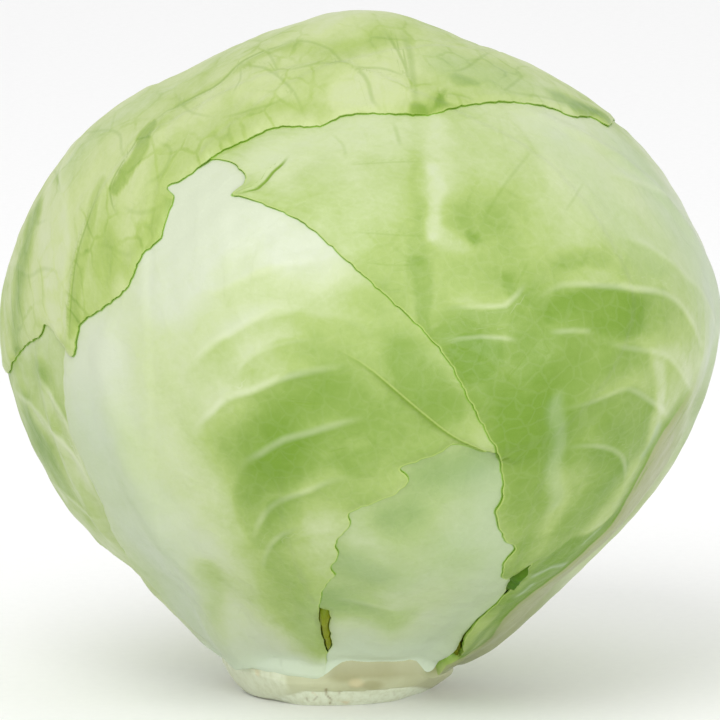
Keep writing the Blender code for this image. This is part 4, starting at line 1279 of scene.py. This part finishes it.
def beside_line(places, line, reach):
    """Distance to a line, above 0 on its left, and how fully the line is there: less towards its start."""
    if line is None:
        return np.full(len(places), reach), np.zeros(len(places))
    distance, side, along, _ = to_line(places, line, reach)
    return side * distance, (distance < reach) * smooth(0.0, FOLD_FADE, along)


def from_base_arc(spots):
    """Distance up the leaf from the stem's shoulder."""
    _, rise = head_angles(spots.directions)
    return (np.degrees(rise) - BASE_ANGLE) * math.radians(1.0) * SHOULDER_RADIUS


def tucked(radius, spots):
    """The radius brought down to the stem's shoulder over the last few millimetres of a leaf's base."""
    turn, _ = head_angles(spots.directions)
    shoulder = SHOULDER_RADIUS - SHOULDER_DIP * frontness(turn) - TUCK_DEPTH
    share = smooth(0.0, BASE_TUCK, from_base_arc(spots) - TUCK_START)
    return shoulder + (radius - shoulder) * share


def build_leaf(leaf, leaves, sizes):
    """A leaf's piece: two faces on one grid, joined by a rim round its outline.

    The inner face's radius is the heart's plus the leaves below and the leaf's own lift. The outer face
    adds the leaf's thickness, its low bumps and its creases, and both are tucked in at the stem.
    """
    places, cells, rim = trimmed_grid(leaf)
    spots = Spots(leaf.from_map(places), leaves)
    fields, moved = leaf_fields(leaf, spots, sizes)
    inner = leaf.inner_radius(spots)
    outer = tucked(inner + leaf.thickness(spots) + moved, spots)
    inner = np.minimum(inner, outer - THINNEST)
    vertices = HEAD_CENTRE + np.vstack([radius[:, None] * spots.directions for radius in (outer, inner)])
    count = len(places)
    rim_faces = np.stack([rim[:, 1], rim[:, 0], rim[:, 0] + count, rim[:, 1] + count], axis=1)
    faces = np.vstack([cells, cells[:, ::-1] + count, rim_faces])
    attributes = {label: np.tile(values, 2) for label, values in fields.items()}
    attributes["under"] = np.repeat([0.0, 1.0], count)
    piece = add_mesh(leaf.name + "_fine", vertices, faces, attributes, np.tile(places, (2, 1)))
    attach(piece, "root")
    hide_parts(leaf.name)
    return piece


def grid_faces(rows, columns):
    """Cells of a grid that is closed across its columns, and opens out of its first and last row."""
    row, column = np.meshgrid(np.arange(rows - 1), np.arange(columns), indexing="ij")
    a = row * columns + column
    b = row * columns + (column + 1) % columns
    return np.stack([a.ravel(), b.ravel(), (b + columns).ravel(), (a + columns).ravel()], axis=1)


def build_inner_head(leaves):
    """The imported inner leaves: radius as a function of the turn round the stem and the rise from it.

    It is the heart's radius less a gap, with a rise where no leaf lies over it, cut flat above the stem.
    """
    rises = np.interp(np.linspace(0.0, 1.0, HEAD_ROWS), *HEAD_RISES)
    turns = np.interp(np.arange(HEAD_COLUMNS) / HEAD_COLUMNS, *HEAD_TURNS)
    rise, turn = np.meshgrid(rises, turns, indexing="ij")
    directions = around(np.stack([turn.ravel(), rise.ravel()], axis=1))
    spots = Spots(directions, leaves)
    bare = np.prod([smooth(*GAP_EDGE, spots.edge[leaf.name]) for leaf in leaves], axis=0)
    seat = (np.linalg.norm(HEAD_CENTRE) - STEM_TOP + SEAT_GAP) / np.maximum(-(directions @ LEAN_UP), 1e-3)
    radius = heart_radius(directions) - HEART_GAP + GAP_RISE * bare * smooth(*GAP_ANGLES, rise.ravel())
    radius = np.where(directions @ LEAN_UP < -0.5, np.minimum(radius, seat), radius)
    vertices = HEAD_CENTRE + radius[:, None] * directions
    near_stem = 1.0 - smooth(*OLIVE_ANGLES, rise.ravel())
    piece = add_mesh("inner_head_fine", vertices, grid_faces(len(rises), len(turns)), {"base": near_stem})
    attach(piece, "root")
    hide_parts("inner_head")
    return piece


def stem_rings(turns):
    """Rings of the stem: its side, the shoulder, the foot of the head on it, and the rim of its top."""
    lobes = sum(size * np.sin(number * turns + phase) for size, number, phase in STEM_LOBES)
    rings = []
    for radius, height, share in STEM_RINGS:
        right = unit(VIEW_RIGHT + share * (LEAN_RIGHT - VIEW_RIGHT))
        middle = height * (share * LEAN_UP + (1.0 - share) * np.array([0.0, 0.0, 1.0]))
        spokes = np.outer(np.cos(turns), right) + np.outer(np.sin(turns), LEAN_BACK)
        rings.append(middle + (radius + lobes)[:, None] * spokes)
    front_share = frontness(turns)
    shoulder = around(np.stack([np.degrees(turns), SHOULDER_ANGLE + SHOULDER_RISE * front_share], axis=1))
    rings.append(HEAD_CENTRE + (SHOULDER_RADIUS - SHOULDER_DIP * front_share)[:, None] * shoulder)
    rings.append(HEAD_CENTRE + heart_radius(shoulder)[:, None] * shoulder)
    spokes = np.outer(np.cos(turns), LEAN_RIGHT) + np.outer(np.sin(turns), LEAN_BACK)
    rings.append(STEM_TOP * LEAN_UP + STEM_TOP_RADIUS * spokes)
    return np.stack(rings)


def build_stem():
    """The stem: a smooth profile through its rings, carried round it and moved in or out by its marks.

    The cut face closes it below and a flat top above, both as rings that shrink to the middle.
    """
    turns = np.arange(STEM_COLUMNS) * 2.0 * math.pi / STEM_COLUMNS
    rings = stem_rings(turns)
    side = refined(rings[:-2], STEM_STEPS)
    skirt = np.concatenate([side, rings[-2:-1]])
    fields = stem_fields(skirt.reshape(-1, 3))
    fields = {label: values.reshape(skirt.shape[:2]) for label, values in fields.items()}
    out = np.stack([np.cos(turns), np.sin(turns), np.zeros(STEM_COLUMNS)], axis=1)
    row = np.arange(len(side)) / STEM_STEPS
    fade = (smooth(*FOOT_FADE, row) * smooth(*TOP_FADE, row))[:, None, None]
    side = side + fields["moved"][: len(side), :, None] * out * fade
    foot = np.linspace(0.001, 1.0, FOOT_RINGS)[:-1, None, None] * side[:1]
    share = np.linspace(1.0, 0.0, LID_RINGS)[1:, None, None]
    lid = rings[-1:] * share + STEM_TOP * LEAN_UP * (1.0 - share)
    sheet = np.concatenate([foot, side, rings[-2:], lid])
    attributes = {}
    for label in ("cut", "tan", "hollow_shade", "scar", "crack"):
        values = np.zeros(sheet.shape[:2])
        values[len(foot): len(foot) + len(skirt)] = fields[label]
        attributes[label] = values.ravel()
    attributes["cut"][: len(foot) * STEM_COLUMNS] = 1.0
    piece = add_mesh("stem_fine", sheet.reshape(-1, 3), grid_faces(len(sheet), STEM_COLUMNS), attributes)
    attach(piece, "root")
    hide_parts("stem")
    return piece


def refined(rings, parts):
    """The rings with parts steps between each two, on a smooth curve through them (Catmull-Rom)."""
    count = len(rings)
    place = np.linspace(0.0, count - 1.0, (count - 1) * parts + 1)
    low = np.minimum(place.astype(int), count - 2)
    t = (place - low)[:, None, None]
    padded = np.concatenate([2 * rings[:1] - rings[1:2], rings, 2 * rings[-1:] - rings[-2:-1]])
    p0, p1, p2, p3 = (padded[low + number] for number in range(4))
    bend = 2 * p0 - 5 * p1 + 4 * p2 - p3
    return 0.5 * (2 * p1 + (p2 - p0) * t + bend * t**2 + (3 * p1 - p0 - 3 * p2 + p3) * t**3)


def blot(flat, pixel, radii):
    """1 inside an ellipse of the front view and 0 outside it, with a soft edge."""
    return 1.0 - smooth(*BLOT_EDGE, np.linalg.norm((flat - in_front(pixel)) / radii, axis=1))


def trimmed_at(vertices, flat, facing):
    """1 where the stem was trimmed: below the trimmed edge in front, and below a waved line behind."""
    distance, side, _, _ = to_line(flat, smooth_curve(in_front(TRIM_EDGE), 1.0), TRIM_REACH)
    before = facing * smooth(-TRIM_SOFTNESS, TRIM_SOFTNESS, -side * distance) * (vertices[:, 2] < TRIM_TOP)
    size, number = BACK_TRIM_WAVE
    height = vertices[:, 2] + size * np.sin(np.arctan2(vertices[:, 1], vertices[:, 0]) * number)
    return np.maximum(before, (1.0 - facing) * (1.0 - smooth(*BACK_TRIM, height)))


def stem_fields(vertices):
    """How far the stem's side is moved out or in, and where it is trimmed, scarred or cracked."""
    flat = np.stack([vertices @ VIEW_RIGHT, vertices @ VIEW_UP], axis=1)
    facing = smooth(*STEM_FRONT, vertices[:, 1])
    trimmed = trimmed_at(vertices, flat, facing)
    scar = facing * blot(flat, *SCAR)
    tan, hollow_shade = (
        facing * np.max([blot(flat, *spot) for spot in spots], axis=0) for spots in (TAN_BLOTS, HOLLOW_SHADE_BLOTS)
    )
    distance, side, _, _ = to_line(flat, smooth_curve(in_front(LOBE_EDGE), 1.0), LOBE_REACH)
    lobe = facing * smooth(*LOBE_SOFTNESS, -side * distance) * smooth(*LOBE_SIDE, flat[:, 0])
    crack = np.zeros(len(vertices))
    for pixels, half_width, strength in STEM_CRACKS:
        distance = to_line(flat, smooth_curve(in_front(pixels), CRACK_STEP), CRACK_REACH)[0]
        crack = np.maximum(crack, facing * fading(distance, strength, half_width))
    size, number, bend, bend_number = RIDGES
    ridges = size * np.sin(number * vertices[:, 2] + bend * np.sin(vertices[:, 0] * bend_number))
    moved = ridges - TRIM_DEPTH * trimmed + SCAR_HEIGHT * scar + LOBE_HEIGHT * lobe - CRACK_DEPTH * crack
    return {
        "moved": moved,
        "cut": np.clip(trimmed + LOBE_CUT * lobe, 0.0, 1.0),
        "tan": TAN_SHARE * tan,
        "hollow_shade": hollow_shade,
        "scar": scar,
        "crack": crack,
    }


# Finishes


class Nodes:
    """Short calls for building a material's node tree. A value is an output or a plain number or colour."""

    def __init__(self, name):
        self.material = bpy.data.materials.new(name)
        self.material.use_nodes = True
        self.tree = self.material.node_tree
        self.inputs = self.tree.nodes["Principled BSDF"].inputs

    def add(self, kind, **settings):
        node = self.tree.nodes.new(kind)
        for name, value in settings.items():
            setattr(node, name, value)
        return node

    def link(self, source, target):
        self.tree.links.new(source, target)

    def put(self, target, value):
        """Links an output, or sets a plain value, on an input."""
        if isinstance(value, bpy.types.NodeSocket):
            self.link(value, target)
        else:
            target.default_value = value

    def attribute(self, name):
        return self.add("ShaderNodeAttribute", attribute_name=name).outputs["Fac"]

    def object_place(self):
        return self.add("ShaderNodeTexCoord").outputs["Object"]

    def math(self, operation, first, second, clamp=False):
        node = self.add("ShaderNodeMath", operation=operation, use_clamp=clamp)
        self.put(node.inputs[0], first)
        self.put(node.inputs[1], second)
        return node.outputs[0]

    def times(self, first, second):
        return self.math("MULTIPLY", first, second)

    def plus(self, first, second, clamp=False):
        return self.math("ADD", first, second, clamp)

    def centred(self, value):
        """A texture's value with its middle at 0."""
        return self.math("SUBTRACT", value, 0.5)

    def spread(self, value, from_low, from_high, low, high):
        """Carries the range of a value to another range, level at both ends."""
        node = self.add("ShaderNodeMapRange", interpolation_type="SMOOTHSTEP")
        self.put(node.inputs["Value"], value)
        names = ("From Min", "From Max", "To Min", "To Max")
        for name, number in zip(names, (from_low, from_high, low, high)):
            node.inputs[name].default_value = number
        return node.outputs["Result"]

    def line(self, name, across):
        """How strongly a line shows, by the span across it in half widths and by its strength."""
        distance = self.math("ABSOLUTE", self.attribute(name), 0.0)
        return self.times(self.spread(distance, *across), self.attribute(name + "_share"))

    def noise(self, vector, scale, detail):
        node = self.add("ShaderNodeTexNoise")
        self.put(node.inputs["Vector"], vector)
        for name, number in (("Scale", scale), ("Detail", detail), ("Roughness", NOISE_ROUGHNESS)):
            node.inputs[name].default_value = number
        return node

    def cloud(self, vector, scale, detail):
        return self.noise(vector, scale, detail).outputs["Fac"]

    def wall_distance(self, vector, scale):
        """Distance to the walls of a net of cells."""
        node = self.add("ShaderNodeTexVoronoi", feature="DISTANCE_TO_EDGE")
        node.inputs["Scale"].default_value = scale
        self.link(vector, node.inputs["Vector"])
        return node.outputs["Distance"]

    def mix(self, factor, first, second):
        """Blends two colours, each an output or a plain colour."""
        node = self.add("ShaderNodeMix", data_type="RGBA")
        self.put(node.inputs[0], factor)
        for number, colour in ((6, first), (7, second)):
            plain = not isinstance(colour, bpy.types.NodeSocket)
            self.put(node.inputs[number], (*colour, 1.0) if plain else colour)
        return node.outputs[2]

    def ramp(self, factor, stops):
        """A colour ramp through (place, colour) stops."""
        node = self.add("ShaderNodeValToRGB")
        band = node.color_ramp
        while len(band.elements) < len(stops):
            band.elements.new(0.5)
        for element, (place, colour) in zip(band.elements, stops):
            element.position = place
            element.color = colour
        self.put(node.inputs["Fac"], factor)
        return node.outputs["Color"]

    def bump(self, height, strength, distance, normal=None):
        node = self.add("ShaderNodeBump")
        node.inputs["Strength"].default_value = strength
        node.inputs["Distance"].default_value = distance
        self.link(height, node.inputs["Height"])
        if normal is not None:
            self.link(normal, node.inputs["Normal"])
        return node.outputs["Normal"]

    def finish(self, colour, roughness, specular, normal=None):
        """Gives the material, once its colour, roughness, specular level and bumps are on the shader."""
        self.link(colour, self.inputs["Base Color"])
        self.put(self.inputs["Roughness"], roughness)
        self.inputs["Specular IOR Level"].default_value = specular
        if normal is not None:
            self.link(normal, self.inputs["Normal"])
        return self.material


class LeafTexture:
    """Clouds, streaks, grain, pores and two nets of small veins, all read from the leaf's map."""

    def __init__(self, nodes):
        place = nodes.add("ShaderNodeUVMap", uv_map="leaf_map").outputs["UV"]
        streaks = nodes.noise(place, *LEAF_STREAKS)
        wander = nodes.add("ShaderNodeVectorMath", operation="MULTIPLY_ADD")
        nodes.link(streaks.outputs["Color"], wander.inputs[0])
        wander.inputs[1].default_value = NET_WANDER
        nodes.link(place, wander.inputs[2])
        walls = nodes.wall_distance(wander.outputs[0], NET_SCALE)
        fine_walls = nodes.wall_distance(wander.outputs[0], FINE_NET_SCALE)
        self.clouds = nodes.cloud(place, *LEAF_CLOUDS)
        self.streaks = streaks.outputs["Fac"]
        self.grain = nodes.cloud(place, *LEAF_GRAIN)
        self.pores = nodes.cloud(place, *LEAF_PORES)
        self.net = nodes.spread(walls, *NET_WALL)
        self.cells = nodes.spread(walls, *NET_CELL)
        self.fine_net = nodes.spread(fine_walls, *FINE_NET_WALL)


def varied_green(nodes, texture, net_green, mottle):
    """Greenness from the mesh, varied by clouds, streaks and grain, more in the net and less in its cells."""
    tone = nodes.times(nodes.centred(texture.clouds), mottle)
    streaks = nodes.times(nodes.centred(texture.streaks), STREAK_TONE)
    grain = nodes.times(nodes.centred(texture.grain), GRAIN_TONE)
    green = nodes.plus(nodes.attribute("green"), nodes.plus(tone, nodes.plus(streaks, grain)))
    green = nodes.math("SUBTRACT", green, nodes.times(texture.cells, CELL_PALER * net_green))
    patchy_net = nodes.times(texture.net, nodes.spread(texture.clouds, *NET_PATCHES))
    return nodes.plus(green, nodes.times(patchy_net, net_green), clamp=True)


def with_strip(nodes, colour, colours):
    """The colour of the wide rib on it, and deep green beside it."""
    strip = nodes.attribute("strip")
    share = nodes.attribute("strip_share")
    for span, tint in ((BESIDE_STRIP, colours.deep), (ON_STRIP, colours.strip)):
        colour = nodes.mix(nodes.times(nodes.spread(strip, *span), share), colour, tint)
    return colour


def with_fold(nodes, colour, colours):
    """Painted shade as a dark line below the fold's step, and a painted highlight as a pale rim on it."""
    fold = nodes.attribute("fold")
    share = nodes.attribute("fold_share")
    pairs = ((FOLD_SHADE, FOLD_STEP, colours.crease), (FOLD_HIGHLIGHT_START, FOLD_HIGHLIGHT_END, colours.rim))
    for start, end, tint in pairs:
        band = nodes.times(nodes.spread(fold, *start), nodes.spread(fold, *end))
        colour = nodes.mix(nodes.times(band, share), colour, tint)
    return colour


def with_edges(nodes, colour, colours, rim_highlight_strength):
    """The pale base, lightened as painted light; the painted highlight on the free edge's rim; and painted
    shade below the edge of a leaf above and on the hidden inner face.
    """
    base = nodes.attribute("base")
    # Pale base, made lighter as painted light where it faces down
    colour = nodes.mix(nodes.times(base, BASE_SHARE), colour, colours.pale_base_and_painted_light)
    off_base = nodes.spread(base, *OFF_BASE)
    # Painted highlight on the rim of the free edge
    rim = nodes.spread(nodes.attribute("from_edge"), *EDGE_HIGHLIGHT, rim_highlight_strength, 0.0)
    colour = nodes.mix(nodes.times(rim, off_base), colour, colours.rim)
    # Painted shade on this leaf just below the edge of a leaf above
    shade = nodes.spread(nodes.attribute("from_upper"), *UPPER_SHADE)
    colour = nodes.mix(nodes.times(shade, off_base), colour, colours.shadow)
    # Painted shade on the hidden inner face, so the gap under an edge shows green
    return nodes.mix(nodes.times(nodes.attribute("under"), UNDER_SHARE), colour, colours.shadow)


def leaf_finish(name, colours, net_green, net_pale, mottle, rim_highlight_strength, blue):
    """Waxy leaf: greenness picks the colour, then come its veins, wide rib, fold, creases and edges."""
    nodes = Nodes(name)
    texture = LeafTexture(nodes)
    tones = (colours.white, colours.pale, colours.light, colours.green, colours.deep)
    stops = [(stop, (*tone[:2], tone[2] * blue, 1.0)) for stop, tone in zip(GREEN_STOPS, tones)]
    colour = nodes.ramp(varied_green(nodes, texture, net_green, mottle), stops)
    colour = nodes.mix(nodes.times(nodes.attribute("cool"), COOL_SHARE), colour, colours.cool)
    vein = nodes.times(nodes.line("vein", VEIN_ACROSS), nodes.spread(texture.clouds, *VEIN_PATCHES))
    veins = nodes.math("MAXIMUM", vein, nodes.times(texture.fine_net, net_pale))
    colour = nodes.mix(veins, colour, colours.vein)
    colour = with_strip(nodes, colour, colours)
    colour = with_fold(nodes, colour, colours)
    crease = nodes.line("crease", CREASE_ACROSS)
    # Creases: the leaf's darker green, with painted shade in the groove
    colour = nodes.mix(nodes.times(crease, CREASE_SHARE), colour, colours.crease)
    colour = with_edges(nodes, colour, colours, rim_highlight_strength)
    relief = nodes.math("SUBTRACT", vein, nodes.times(crease, CREASE_BUMP))
    normal = None
    heights = (texture.pores, texture.streaks, texture.net, texture.grain, relief)
    for height, bump in zip(heights, LEAF_BUMPS):
        normal = nodes.bump(height, *bump, normal)
    return nodes.finish(colour, nodes.spread(texture.streaks, *LEAF_ROUGHNESS), LEAF_SPECULAR, normal)


def inner_finish(colours):
    """Inner leaves seen deep between the outer ones, darkened as painted shade of the gaps: olive near the
    stem, darker green further up.
    """
    nodes = Nodes("inner_leaves")
    clouds = nodes.cloud(nodes.object_place(), *INNER_CLOUDS)
    base = nodes.plus(nodes.attribute("base"), nodes.centred(clouds), clamp=True)
    colour = nodes.mix(base, colours.slit_shade, colours.olive_and_gap_shade)
    normal = nodes.bump(clouds, *INNER_BUMP)
    return nodes.finish(colour, nodes.spread(clouds, *INNER_ROUGHNESS), INNER_SPECULAR, normal)


def stem_finish(colours):
    """Stem flesh with pale fresh cuts, tan blots, painted shade in the hollow blots, orange specks, cracks
    and fine fibres.
    """
    nodes = Nodes("stem_flesh")
    place = nodes.object_place()
    stretch = nodes.add("ShaderNodeMapping")
    stretch.inputs["Scale"].default_value = FIBRE_STRETCH
    nodes.link(place, stretch.inputs["Vector"])
    clouds = nodes.cloud(place, *STEM_CLOUDS)
    fibres = nodes.cloud(stretch.outputs["Vector"], *STEM_FIBRES)
    flesh = nodes.mix(nodes.spread(clouds, *FLESH_PATCHES), colours.flesh, colours.tan)
    flesh = nodes.mix(nodes.attribute("tan"), flesh, colours.tan)
    # Painted shade of the hollow between leaf bases
    flesh = nodes.mix(nodes.attribute("hollow_shade"), flesh, colours.olive_and_gap_shade)
    cut = nodes.mix(nodes.spread(fibres, *CUT_FIBRES), colours.cut, colours.flesh)
    colour = nodes.mix(nodes.attribute("cut"), flesh, cut)
    warm = nodes.spread(nodes.cloud(place, *STEM_WARMTH), *WARM_SPECKS)
    colour = nodes.mix(warm, colour, colours.warm)
    colour = nodes.mix(nodes.times(nodes.attribute("scar"), SCAR_SHARE), colour, colours.warm)
    colour = nodes.mix(nodes.times(nodes.attribute("crack"), CRACK_SHARE), colour, colours.scar)
    normal = nodes.bump(clouds, *FLESH_BUMP, nodes.bump(fibres, *FIBRE_BUMP))
    return nodes.finish(colour, nodes.spread(clouds, *STEM_ROUGHNESS), STEM_SPECULAR, normal)


def floor_finish():
    """Matt white paper with a faint tooth."""
    nodes = Nodes("floor_paper")
    tooth = nodes.cloud(nodes.object_place(), *PAPER_TOOTH)
    return nodes.finish(nodes.ramp(tooth, PAPER_GREYS), PAPER_ROUGHNESS, PAPER_SPECULAR)


# Operators


class CABBAGE_OT_stem(bpy.types.Operator):
    """Makes the trimmed stem with its scars and cracks"""

    bl_idname = "cabbage.stem"
    bl_label = "Stem"

    def execute(self, context):
        piece = build_stem()
        piece.data.materials.append(stem_finish(context.scene.cabbage_colours))
        return {"FINISHED"}


class CABBAGE_OT_inner_head(bpy.types.Operator):
    """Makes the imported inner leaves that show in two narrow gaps"""

    bl_idname = "cabbage.inner_head"
    bl_label = "Inner head"

    def execute(self, context):
        piece = build_inner_head(all_leaves(context.scene.cabbage_sizes))
        piece.data.materials.append(inner_finish(context.scene.cabbage_colours))
        return {"FINISHED"}


class CABBAGE_OT_leaves(bpy.types.Operator):
    """Makes the six outer leaves"""

    bl_idname = "cabbage.leaves"
    bl_label = "Outer leaves"

    def execute(self, context):
        sizes = context.scene.cabbage_sizes
        colours = context.scene.cabbage_colours
        finishes = {slot: leaf_finish(slot, colours, *look) for slot, look in LEAF_LOOKS.items()}
        leaves = all_leaves(sizes)
        for leaf in leaves:
            piece = build_leaf(leaf, leaves, sizes)
            piece.data.materials.append(finishes[leaf.slot])
        return {"FINISHED"}


def aim(thing, place, target):
    """Puts a camera or light at a place, in metres, turned to a target."""
    thing.location = place
    direction = np.array(target) - np.array(place)
    away = unit(direction)
    right = unit(np.cross(away, (0.0, 0.0, 1.0)))
    up = np.cross(right, away)
    thing.rotation_euler = matrix_angles(np.stack([right, up, -away], axis=1))


def matrix_angles(turn):
    """XYZ angles of a turn given as a matrix of three columns."""
    x = math.atan2(turn[2, 1], turn[2, 2])
    y = math.asin(max(-1.0, min(1.0, -turn[2, 0])))
    z = math.atan2(turn[1, 0], turn[0, 0])
    return x, y, z


def add_light(name, target, place, size, power):
    data = bpy.data.lights.new(name, "AREA")
    data.shape = "DISK"
    data.size = size
    data.energy = power
    light = bpy.data.objects.new(name, data)
    bpy.context.scene.collection.objects.link(light)
    aim(light, place, target)
    return light


class CABBAGE_OT_studio(bpy.types.Operator):
    """Adds the pale floor, the soft lights and the camera at the photograph's angle"""

    bl_idname = "cabbage.studio"
    bl_label = "Studio"

    def execute(self, context):
        scene = context.scene
        studio = scene.cabbage_studio
        half = studio.floor / 2.0 / MM
        corners = np.array([(-half, -half, 0.0), (half, -half, 0.0), (half, half, 0.0), (-half, half, 0.0)])
        floor = add_mesh("floor", corners, np.array([[0, 1, 2, 3]]), {})
        floor.data.materials.append(floor_finish())
        world = bpy.data.worlds.new("studio_white")
        world.use_nodes = True
        world.node_tree.nodes["Background"].inputs["Color"].default_value = (1.0, 1.0, 1.0, 1.0)
        world.node_tree.nodes["Background"].inputs["Strength"].default_value = studio.sky
        scene.world = world
        head = HEAD_CENTRE * MM
        add_light("key_light", head, *KEY_LIGHT, studio.key_power)
        add_light("fill_light", head, *FILL_LIGHT, studio.fill_power)
        shift = in_front(PHOTO_MIDDLE) - (HEAD_CENTRE @ VIEW_RIGHT, HEAD_CENTRE @ VIEW_UP)
        target = (HEAD_CENTRE + shift[0] * VIEW_RIGHT + shift[1] * VIEW_UP) * MM
        data = bpy.data.cameras.new("camera")
        data.sensor_width = SENSOR_WIDTH
        data.lens = data.sensor_width * studio.distance / (PHOTO_WIDTH * PIXEL * MM)
        camera = bpy.data.objects.new("camera", data)
        scene.collection.objects.link(camera)
        aim(camera, target - VIEW_AWAY * studio.distance, target)
        scene.camera = camera
        scene.view_settings.view_transform = "Standard"
        return {"FINISHED"}


class CABBAGE_PT_panel(bpy.types.Panel):
    """The steps that build the cabbage"""

    bl_idname = "CABBAGE_PT_panel"
    bl_label = "Green cabbage"
    bl_space_type = "VIEW_3D"
    bl_region_type = "UI"
    bl_category = "Cabbage"

    def draw(self, context):
        for step in STEPS:
            self.layout.operator(step.bl_idname)


STEPS = (CABBAGE_OT_stem, CABBAGE_OT_inner_head, CABBAGE_OT_leaves, CABBAGE_OT_studio)
SETTINGS = (CabbageSizes, CabbageColours, StudioSettings)


def register():
    for item in (*SETTINGS, *STEPS, CABBAGE_PT_panel):
        bpy.utils.register_class(item)
    bpy.types.Scene.cabbage_sizes = bpy.props.PointerProperty(type=CabbageSizes)
    bpy.types.Scene.cabbage_colours = bpy.props.PointerProperty(type=CabbageColours)
    bpy.types.Scene.cabbage_studio = bpy.props.PointerProperty(type=StudioSettings)


def unregister():
    del bpy.types.Scene.cabbage_studio
    del bpy.types.Scene.cabbage_colours
    del bpy.types.Scene.cabbage_sizes
    for item in (CABBAGE_PT_panel, *reversed(STEPS), *reversed(SETTINGS)):
        bpy.utils.unregister_class(item)


def main():
    register()
    bpy.ops.cabbage.stem()
    bpy.ops.cabbage.inner_head()
    bpy.ops.cabbage.leaves()
    bpy.ops.cabbage.studio()


if __name__ == "__main__":
    main()
